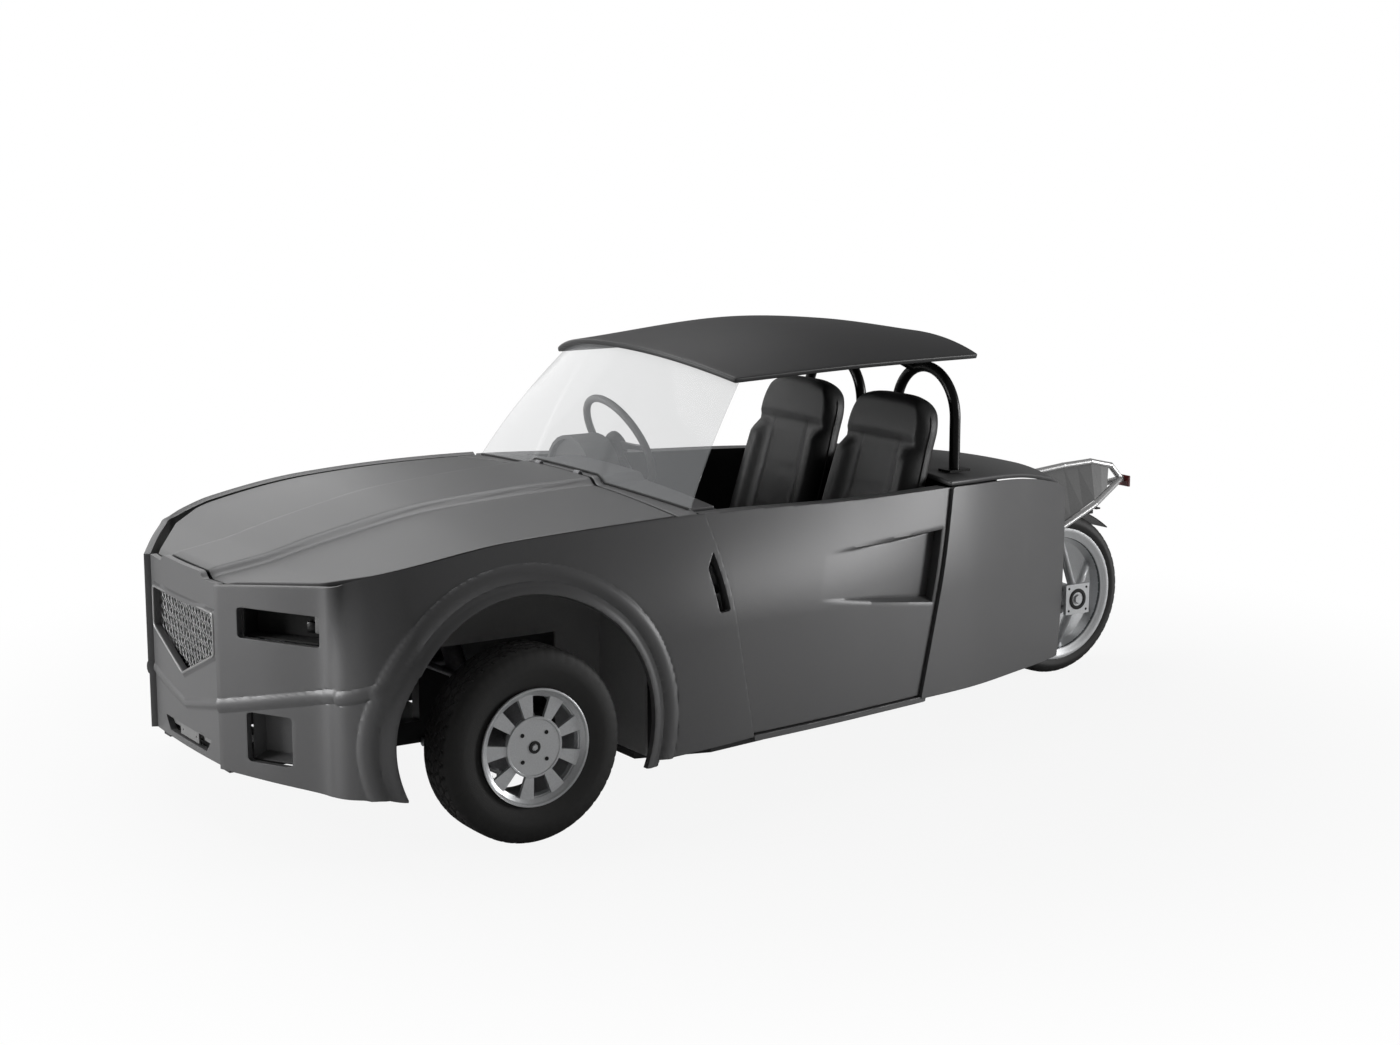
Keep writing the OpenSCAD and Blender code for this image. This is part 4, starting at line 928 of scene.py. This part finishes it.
def roof_pt(u, s):
    half = curve([(0, 571), (0.45, 505), (1, 385)], u)
    mid = curve([(0, ROOF_TOP - 53), (0.4, ROOF_TOP), (0.7, ROOF_TOP - 20), (1, ROOF_TOP - 80)], u)
    edge_h = curve([(0, ROOF_TOP - 126), (0.45, ROOF_TOP - 122), (1, ROOF_TOP - 132)], u)
    x = mix(screen_head(s)[0] + 8, DOOR_REAR - 295 + 12 * s * s, u)
    return Vector((x, half * s, mix(mid, edge_h, abs(s) ** 2.2)))


roof = trimmed("roof_skin", roof_pt, steps(1, 0, 0.02), steps(-1, 1, 0.03))
thicken(roof, 18, 5, 34, 3)
finish_as(roof, ROOF, "chassis", "roof_paint", "roof_panel")


# ---- tyres ----
def tyre(name, rim_r, out_r, width, centre, ribs):
    h, c = out_r - rim_r, width / 2
    # The wall, as shares of the half width and of the height above the rim
    edge = [(-0.80, 0.0), (-0.86, 0.05), (-0.885, 0.16), (-0.93, 0.3), (-0.985, 0.5), (-0.99, 0.58),
            (-0.965, 0.7), (-0.93, 0.79), (-0.9, 0.85), (-0.86, 0.905), (-0.80, 0.95), (-0.73, 0.975)]
    tread = steps(-0.68, 0.68, 0.024)
    prof = [(a * c, rim_r + b * h, 0) for a, b in edge]
    prof += [(t * c, out_r - 1.2 * abs(t) ** 3 * 4, 1) for t in tread]
    prof += [(-a * c, rim_r + b * h, 0) for a, b in edge[::-1]]
    n = 288
    verts, faces = [], []
    m = len(prof)
    for i in range(n):
        ang = 2 * math.pi * i / n
        for y, r, kind in prof:
            t = y / c
            if kind:
                for g in ribs:
                    if abs(t - g) < 0.032:
                        r -= 6
                # Slanting cuts across the blocks, offset from row to row
                row = sum(1 for g in ribs if t > g)
                phase = (i + row * 2 + int(abs(t) * 7)) % 6
                if phase == 0 and abs(t) > 0.05:
                    r -= 4.5
            elif abs(t) > 0.72 and r > out_r - 0.22 * h:
                if i % 6 == 0:
                    r -= 1.8
            # Fine rings on the wall
            if not kind and abs(r - (rim_r + 0.3 * h)) < 0.04 * h:
                y += math.copysign(0.8, y)
            verts.append(mm((centre[0] + r * math.sin(ang), centre[1] + y, centre[2] + r * math.cos(ang))))
    for i in range(n):
        for j in range(m):
            a, b = i * m + j, i * m + (j + 1) % m
            d, e = ((i + 1) % n) * m + (j + 1) % m, ((i + 1) % n) * m + j
            faces.append((a, e, d, b))
    ob = new_object(name, verts, faces)
    fix_normals(ob)
    return bake(ob, 28)


TYRE_Y, FRONT_R, REAR_X, REAR_R = 800.0, 296.0, -2705.0, 309.0
front_hub, rear_hub = (0, 0, FRONT_R), (REAR_X, 0, REAR_R)
left = tyre("left_front_tyre_rubber", 165.4, FRONT_R, 170, (0, TYRE_Y, FRONT_R), (-0.36, 0.0, 0.36))
right = mirrored(left, "right_front_tyre_rubber")
finish_as(left, RUBBER, "left_front_wheel", "tyre_black", "left_front_tyre")
finish_as(right, RUBBER, "right_front_wheel", "tyre_black", "right_front_tyre")
rear_rubber = tyre("rear_tyre_rubber", 233.4, REAR_R, 206, rear_hub, (-0.45, -0.15, 0.15, 0.45))
finish_as(rear_rubber, RUBBER, "rear_wheel", "tyre_black", "rear_tyre")


# ---- wheel details ----
def ring_bolts(name, centre, y, circle, r, head):
    """Four bolt heads on a circle round the hub."""
    obs = []
    for i in range(4):
        a = math.radians(45 + 360 * i / 4)
        x, z = centre[0] + circle * math.sin(a), centre[2] + circle * math.cos(a)
        profile = [(y - 12, 0.5), (y - 12, r), (y + head - 1, r), (y + head, r - 1),
                   (y + head, r * 0.45), (y + head - 3, r * 0.42), (y + head - 3, 0.5)]
        obs.append(lathe(name + str(i), profile, 20, False, (x, 0, z)))
    return bake(joined(name, obs), 25)


FRONT_FACE = TYRE_Y + 85
# Turned parts of the wheels: name, material, sides, closed, (along, radius) points; the front
# wheel's points are counted from its outer face
FRONT_TURNED = (
    # Polished lip and the stepped barrel inside it
    ("rim_lip", WHEEL, 120, True, ((-4, 179), (0.5, 178.6), (1.4, 176), (0.6, 172.5), (-5, 168.5),
                                   (-12, 163.5), (-14, 156.2), (-15.5, 156.4), (-15.5, 164.4))),
    ("rim_step", WHEEL, 120, True, ((-18, 156.2), (-20, 152.5), (-30, 152), (-34, 149.5), (-36, 156))),
    # Centre cap: dark ring round a bright nut
    ("cap_ring", INNER, 48, True, ((-12, 19), (-7.5, 19), (-6.5, 17.5), (-6.5, 11), (-9, 10.5),
                                   (-12, 10.5))),
    ("cap_nut", WHEEL, 6, False, ((-12, 0.4), (-12, 9.5), (-5.5, 9.5), (-4.5, 8.5), (-4.5, 0.4))),
    # Shallow dish on the centre disc
    ("disc_rim", WHEEL, 96, True, ((-9.8, 92.5), (-7.8, 91), (-7.8, 86), (-9.8, 84.5))),
)
REAR_TURNED = (
    ("rear_lip", WHEEL, 144, True, ((100.5, 253), (103, 252), (103.5, 246), (102.5, 238), (99, 230),
                                    (96.5, 218), (95, 218), (96, 238), (98, 252))),
    ("rear_barrel_step", WHEEL_DARK, 144, True, ((93, 217), (86, 215), (70, 212), (56, 207), (52, 205.4),
                                                 (50, 207), (68, 214), (90, 219))),
    ("rear_hub_ring", INNER, 64, True, ((209.6, 40), (212.5, 39), (213.4, 36), (213.4, 28), (211, 26),
                                        (209.6, 26))),
    ("rear_hub_nut", WHEEL, 6, False, ((209.6, 0.4), (209.6, 18), (216, 18), (217.5, 16.5),
                                       (217.5, 0.4))),
)


def turned(table, start, centre):
    return [(lathe(name, [(start + y, r) for y, r in points], n, closed, centre), mat)
            for name, mat, n, closed, points in table]


for ob, mat in turned(FRONT_TURNED, FRONT_FACE, front_hub) + [
        (ring_bolts("rim_bolts", front_hub, FRONT_FACE - 9.5, 57, 6.3, 2.0), INNER)]:
    bake(ob, 30)
    finish_as(mirrored(ob, ob.name + "_right"), mat, "right_front_wheel", "rim_alloy")
    finish_as(ob, mat, "left_front_wheel", "rim_alloy")
for ob, mat in turned(REAR_TURNED, 0, rear_hub) + [
        (ring_bolts("rear_bolts", rear_hub, 209.2, 60, 4.9, 1.6), INNER)]:
    bake(ob, 30)
    finish_as(ob, mat, "rear_wheel", "rim_alloy")


# ---- seats: padded buckets with side rolls and a sewn step under the head ----
def pillow(name, place, front, back):
    """Closed pad over s in -1..1 and t in 0..1, with rows closer together at its rim.

    place(s, t, d) puts a point d mm ahead of the middle plane; front(s, t) is the pad's depth
    ahead of that plane, and back its depth behind it.
    """
    verts, faces = [], []
    ss = [math.sin(math.pi / 2 * v) for v in steps(-1, 1, 2.0 / 56)]
    ts = [0.5 - 0.5 * c * (0.35 + 0.65 * abs(c) ** 0.3)
          for c in [math.cos(math.pi * v) for v in steps(0, 1, 1.0 / 64)]]
    nu, nv = len(ss), len(ts)
    for side, f in ((1, front), (-1, lambda s, t: back)):
        for s in ss:
            for t in ts:
                rim = min(1, (1 - abs(s)) / 0.14) if abs(s) > 0.86 else 1.0
                top = min(1, t / 0.05, (1 - t) / 0.05)
                puff = math.sqrt(max(0, 1 - (1 - rim) ** 2)) * math.sqrt(max(0, 1 - (1 - top) ** 2))
                verts.append(place(s, t, side * f(s, t) * puff))
    for o, flip in ((0, False), (nu * nv, True)):
        for i in range(nu - 1):
            for j in range(nv - 1):
                q = (o + i * nv + j, o + (i + 1) * nv + j, o + (i + 1) * nv + j + 1, o + i * nv + j + 1)
                faces.append(q[::-1] if flip else q)
    ob = new_object(name, [mm(v) for v in verts], faces)
    bm = bmesh.new()
    bm.from_mesh(ob.data)
    bmesh.ops.remove_doubles(bm, verts=bm.verts, dist=5e-5)
    bmesh.ops.recalc_face_normals(bm, faces=bm.faces)
    bm.to_mesh(ob.data)
    bm.free()
    return bake(ob, 70)


SEAT_Y, SEAT_W, SEAT_REAR, RECLINE = 270.0, 450.0, -1755.0, math.radians(17)
BACK_FOOT = (SEAT_REAR + 242, 350)
BACK_LEN = 820 / math.cos(RECLINE)


def back_frame(up, ahead, y):
    """Point of the reclined back: up its length, ahead of its front face."""
    x = BACK_FOOT[0] - up * math.sin(RECLINE) + ahead * math.cos(RECLINE)
    z = BACK_FOOT[1] + up * math.cos(RECLINE) + ahead * math.sin(RECLINE)
    return Vector((x, SEAT_Y + y, z))


def back_half(t):
    w = SEAT_W / 2 * (0.94 + 0.06 * math.sin(math.pi * min(1, t * 1.25)))
    if t > 0.86:
        w *= math.sqrt(max(0.02, 1 - ((t - 0.86) / 0.16) ** 2 * 0.6))
    return w


def back_place(s, t, d):
    lift = -18 * abs(s) ** 4 * smooth((t - 0.7) / 0.3)
    return back_frame(BACK_LEN * t + lift, -46 + d, s * back_half(t))


def groove(v, at, wide, deep):
    return deep * math.exp(-((v - at) / wide) ** 2)


STEP_AT = 0.80    # height of the sewn step under the head, as a share of the back


def back_front(s, t):
    roll = 30 * smooth((abs(s) - 0.52) / 0.26) * smooth((STEP_AT - t) / 0.08) * smooth(t / 0.1)
    d = 44 + roll - 9 * (1 - abs(s)) * math.sin(math.pi * t) * 0.4
    d -= groove(abs(s), 0.5, 0.022, 7) * smooth((0.82 - t) / 0.03)
    for at in (0.22, 0.41, 0.60):
        d -= groove(t, at, 0.008, 5) * smooth((0.5 - abs(s)) / 0.03)
    d -= groove(t, STEP_AT, 0.008, 9)
    d += 12 * smooth((t - STEP_AT) / 0.04) * (1 - 0.3 * abs(s) ** 2)
    return d


def cushion_place(s, t, d):
    x = SEAT_REAR + 112 + 500 * t
    return Vector((x, SEAT_Y + s * (SEAT_W / 2 - 4), 372 + t * 46 + d))


def cushion_front(s, t):
    roll = 30 * smooth((abs(s) - 0.56) / 0.24)
    d = 50 + roll - 7 * math.sin(math.pi * t) - 14 * smooth((t - 0.85) / 0.15)
    d -= groove(abs(s), 0.54, 0.022, 7)
    for at in (0.3, 0.55, 0.8):
        d -= groove(t, at, 0.012, 5) * smooth((0.52 - abs(s)) / 0.03)
    return d


seat_back = pillow("left_seat_back", back_place, back_front, 44)
seat_pad = pillow("left_seat_cushion", cushion_place, cushion_front, 46)
base = prism("left_seat_base", [(-1690, 173), (-1140, 173), (-1150, 334), (-1690, 334)],
             SEAT_Y - 194, SEAT_Y + 194, bevel=12, seg=3)
back_rim = ([(-1, v) for v in steps(0.04, 0.93, 0.03)] + [(v, 0.997) for v in steps(-0.95, 0.95, 0.08)]
            + [(1, v) for v in steps(0.93, 0.04, 0.03)])
piping = tube("left_seat_piping", [back_place(s, t, 3) for s, t in back_rim], 3.2, res=6)
seam = tube("left_seat_seam", [back_place(s, STEP_AT, back_front(s, STEP_AT) + 1.2)
                               for s in steps(-0.9, 0.9, 0.05)], 1.1, res=4)
for side, sign in (("left", 1), ("right", -1)):
    group = [seat_back, seat_pad, base, piping, seam]
    if sign < 0:
        group = [mirrored(p, p.name.replace("left", "right")) for p in group]
    for p, mat in zip(group, (LEATHER, LEATHER, INNER, LEATHER, THREAD)):
        finish_as(p, mat, "chassis", "seat_leather")
    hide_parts(side + "_seat")


# ---- steering wheel ----
WHEEL_C, TILT = Vector((-985.0, -270.0, 985.0)), math.radians(27)


def on_column(across, up, along):
    """along runs down the column; across is to the left, up lies in the plane of the wheel."""
    x = WHEEL_C.x + along * math.cos(TILT) + up * math.sin(TILT)
    z = WHEEL_C.z - along * math.sin(TILT) + up * math.cos(TILT)
    return Vector((x, WHEEL_C.y + across, z))


def circle_line(r):
    """Points round the steering wheel's axis, in the plane of its rim."""
    return [on_column(r * math.sin(a), r * math.cos(a), 0)
            for a in [2 * math.pi * i / 72 for i in range(72)]]


def arm(a, name):
    """Flat spoke, from the boss out to the rim, at the angle a from straight up."""
    across, up = math.sin(a), math.cos(a)
    verts, faces = [], []
    us = steps(30, 178, 12)
    for u in us:
        out = (u - 30) / 148
        half, lift = mix(20, 13, out) - 4 * math.sin(math.pi * out), 4 + 10 * (1 - out)
        for v, w in ((-half, lift), (-half * 0.8, lift - 4), (half * 0.8, lift - 4),
                     (half, lift), (half * 0.8, lift + 4), (-half * 0.8, lift + 4)):
            verts.append(mm(on_column(u * across + v * up, u * up - v * across, w)))
    n = len(us)
    for i in range(n - 1):
        for j in range(6):
            faces.append((i * 6 + j, i * 6 + (j + 1) % 6, (i + 1) * 6 + (j + 1) % 6, (i + 1) * 6 + j))
    faces += [(0, 1, 2, 3, 4, 5), tuple(n * 6 - 1 - j for j in range(6))]
    ob = new_object(name, verts, faces)
    fix_normals(ob)
    return bake(ob, 40)


ring = tube("steering_ring", circle_line(176), 13.2, closed=True, res=16)
finish_as(ring, RIM_WRAP, "steering_wheel", "wheel_rim_leather", "steering_wheel")
for i, a in enumerate((math.radians(90), math.radians(-90), math.radians(180))):
    finish_as(arm(a, "steering_arm_%d" % i), ALLOY, "steering_wheel", "wheel_rim_leather")
# Boss and column shroud, as (along, radius) points
prof = [(-6, 0.5), (-6, 34), (-3, 42), (4, 45.5), (20, 45.5), (34, 40), (38, 20), (60, 11),
        (164, 11), (164, 0.5)]
verts, faces, n, m = [], [], 48, len(prof)
for i in range(n):
    a = 2 * math.pi * i / n
    verts += [mm(on_column(r * math.sin(a), r * math.cos(a), along)) for along, r in prof]
    for j in range(m - 1):
        faces.append((i * m + j, i * m + j + 1, ((i + 1) % n) * m + j + 1, ((i + 1) % n) * m + j))
hub = new_object("steering_boss", verts, faces)
fix_normals(hub)
finish_as(bake(hub, 40), DASH, "steering_wheel", "wheel_rim_leather")
stitch = tube("steering_stitch", circle_line(163.2), 0.9, closed=True, res=4)
finish_as(stitch, THREAD, "steering_wheel", "wheel_rim_leather")


# ---- CAD nodes whose shape is right: only the material changes ----
for names, mat in (
        (("floor_pan", "left_rail", "right_rail", "front_cross_member", "axle_cross_member",
         "rear_cross_member", "rack_housing", "firewall", "rear_swingarm"), FRAME),
        (("left_lamp_pod", "right_lamp_pod", "rear_bulkhead", "centre_tunnel"), INNER),
        (("left_wheel_well", "right_wheel_well"), WELL),
        (("front_number_plate",), BLANK), (("steering_column", "dashboard"), DASH), (("pedals",), ALLOY),
        (("left_suspension", "right_suspension", "left_knuckle", "right_knuckle", "track_rod"), STEEL),
        (("engine_block",), IRON), (("left_roll_hoop", "right_roll_hoop", "rear_mudguard"), HOOP),
        (("left_front_rim", "right_front_rim", "rear_rim"), WHEEL), (("tail_frame",), SILVER),
        (("left_tail_cowl", "right_tail_cowl"), COWL), (("tail_lamp",), LAMP)):
    for name in names:
        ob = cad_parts[name]
        ob.data.materials.clear()
        ob.data.materials.append(mat)

# ---- stage, lights, camera ----
scene = bpy.context.scene
scene.view_settings.view_transform = "Standard"
cam = bpy.data.cameras.new("camera")
cam.sensor_fit, cam.sensor_width, cam.lens = "HORIZONTAL", 36, 61.71
co = linked("camera", cam)
yaw, dip = math.radians(57.02), math.radians(10.176)
co.location = (3.302 + SHIFT / 1000, 6.855, 2.189)
look = Vector((-math.cos(yaw) * math.cos(dip), -math.sin(yaw) * math.cos(dip), -math.sin(dip)))
co.rotation_euler = look.to_track_quat("-Z", "Y").to_euler()
scene.camera = co


def stage_material():
    m = bpy.data.materials.new("pale_floor")
    m.use_nodes = True
    nt = m.node_tree
    p = nt.nodes["Principled BSDF"]
    p.inputs["Base Color"].default_value = (0.5, 0.5, 0.5, 1)
    p.inputs["Roughness"].default_value = 0.9
    glow = nt.nodes.new("ShaderNodeEmission")
    path = nt.nodes.new("ShaderNodeLightPath")
    blend = nt.nodes.new("ShaderNodeMixShader")
    scale = nt.nodes.new("ShaderNodeMath")
    scale.operation = "MULTIPLY"
    # Near the car the floor shows its shadow; further out it goes to plain white
    where = nt.nodes.new("ShaderNodeTexCoord")
    far = nt.nodes.new("ShaderNodeVectorMath")
    far.operation = "LENGTH"
    fade = nt.nodes.new("ShaderNodeMapRange")
    fade.interpolation_type = "SMOOTHSTEP"
    for key, val in (("From Min", 1.6), ("From Max", 3.6), ("To Min", 0.9), ("To Max", 1.0)):
        fade.inputs[key].default_value = val
    nt.links.new(where.outputs["Object"], far.inputs[0])
    nt.links.new(far.outputs["Value"], fade.inputs["Value"])
    nt.links.new(fade.outputs["Result"], scale.inputs[1])
    nt.links.new(path.outputs["Is Camera Ray"], scale.inputs[0])
    nt.links.new(scale.outputs[0], blend.inputs[0])
    nt.links.new(p.outputs[0], blend.inputs[1])
    nt.links.new(glow.outputs[0], blend.inputs[2])
    nt.links.new(blend.outputs[0], nt.nodes["Material Output"].inputs["Surface"])
    return m


bm = bmesh.new()
bmesh.ops.create_grid(bm, x_segments=8, y_segments=8, size=40)
fl = bpy.data.meshes.new("floor")
bm.to_mesh(fl)
bm.free()
floor = linked("floor", fl)
floor.location = (0, 0, -0.001)
fl.materials.append(stage_material())

world = bpy.data.worlds.new("studio")
scene.world = world
world.use_nodes = True
wt = world.node_tree
bg = wt.nodes["Background"]
bg.inputs["Color"].default_value = (1, 1, 1, 1)
path = wt.nodes.new("ShaderNodeLightPath")
rng = wt.nodes.new("ShaderNodeMapRange")
rng.inputs["To Min"].default_value = 0.12
rng.inputs["To Max"].default_value = 1.0
see = wt.nodes.new("ShaderNodeMath")
see.operation = "MAXIMUM"
wt.links.new(path.outputs["Is Camera Ray"], see.inputs[0])
wt.links.new(path.outputs["Is Transmission Ray"], see.inputs[1])
wt.links.new(see.outputs[0], rng.inputs["Value"])
wt.links.new(rng.outputs["Result"], bg.inputs["Strength"])


def area(name, at, to, size, power, size_y=None):
    li = bpy.data.lights.new(name, "AREA")
    li.shape = "RECTANGLE"
    li.size, li.size_y, li.energy = size, size_y or size, power
    ob = linked(name, li)
    ob.location = at
    ob.rotation_euler = (Vector(to) - Vector(at)).to_track_quat("-Z", "Y").to_euler()


area("top", (0.6, -1.2, 4.6), (0.2, 0, 0.6), 4.0, 120, 2.6)
area("rear_left", (-8.5, 4.6, 1.8), (-1.0, 0.5, 0.5), 3.0, 420)
area("front", (7.2, -2.7, 2.2), (1.6, 0, 0.5), 3.2, 400)
area("far_side", (0.5, -6.0, 2.6), (0, 0, 0.7), 4.0, 60)
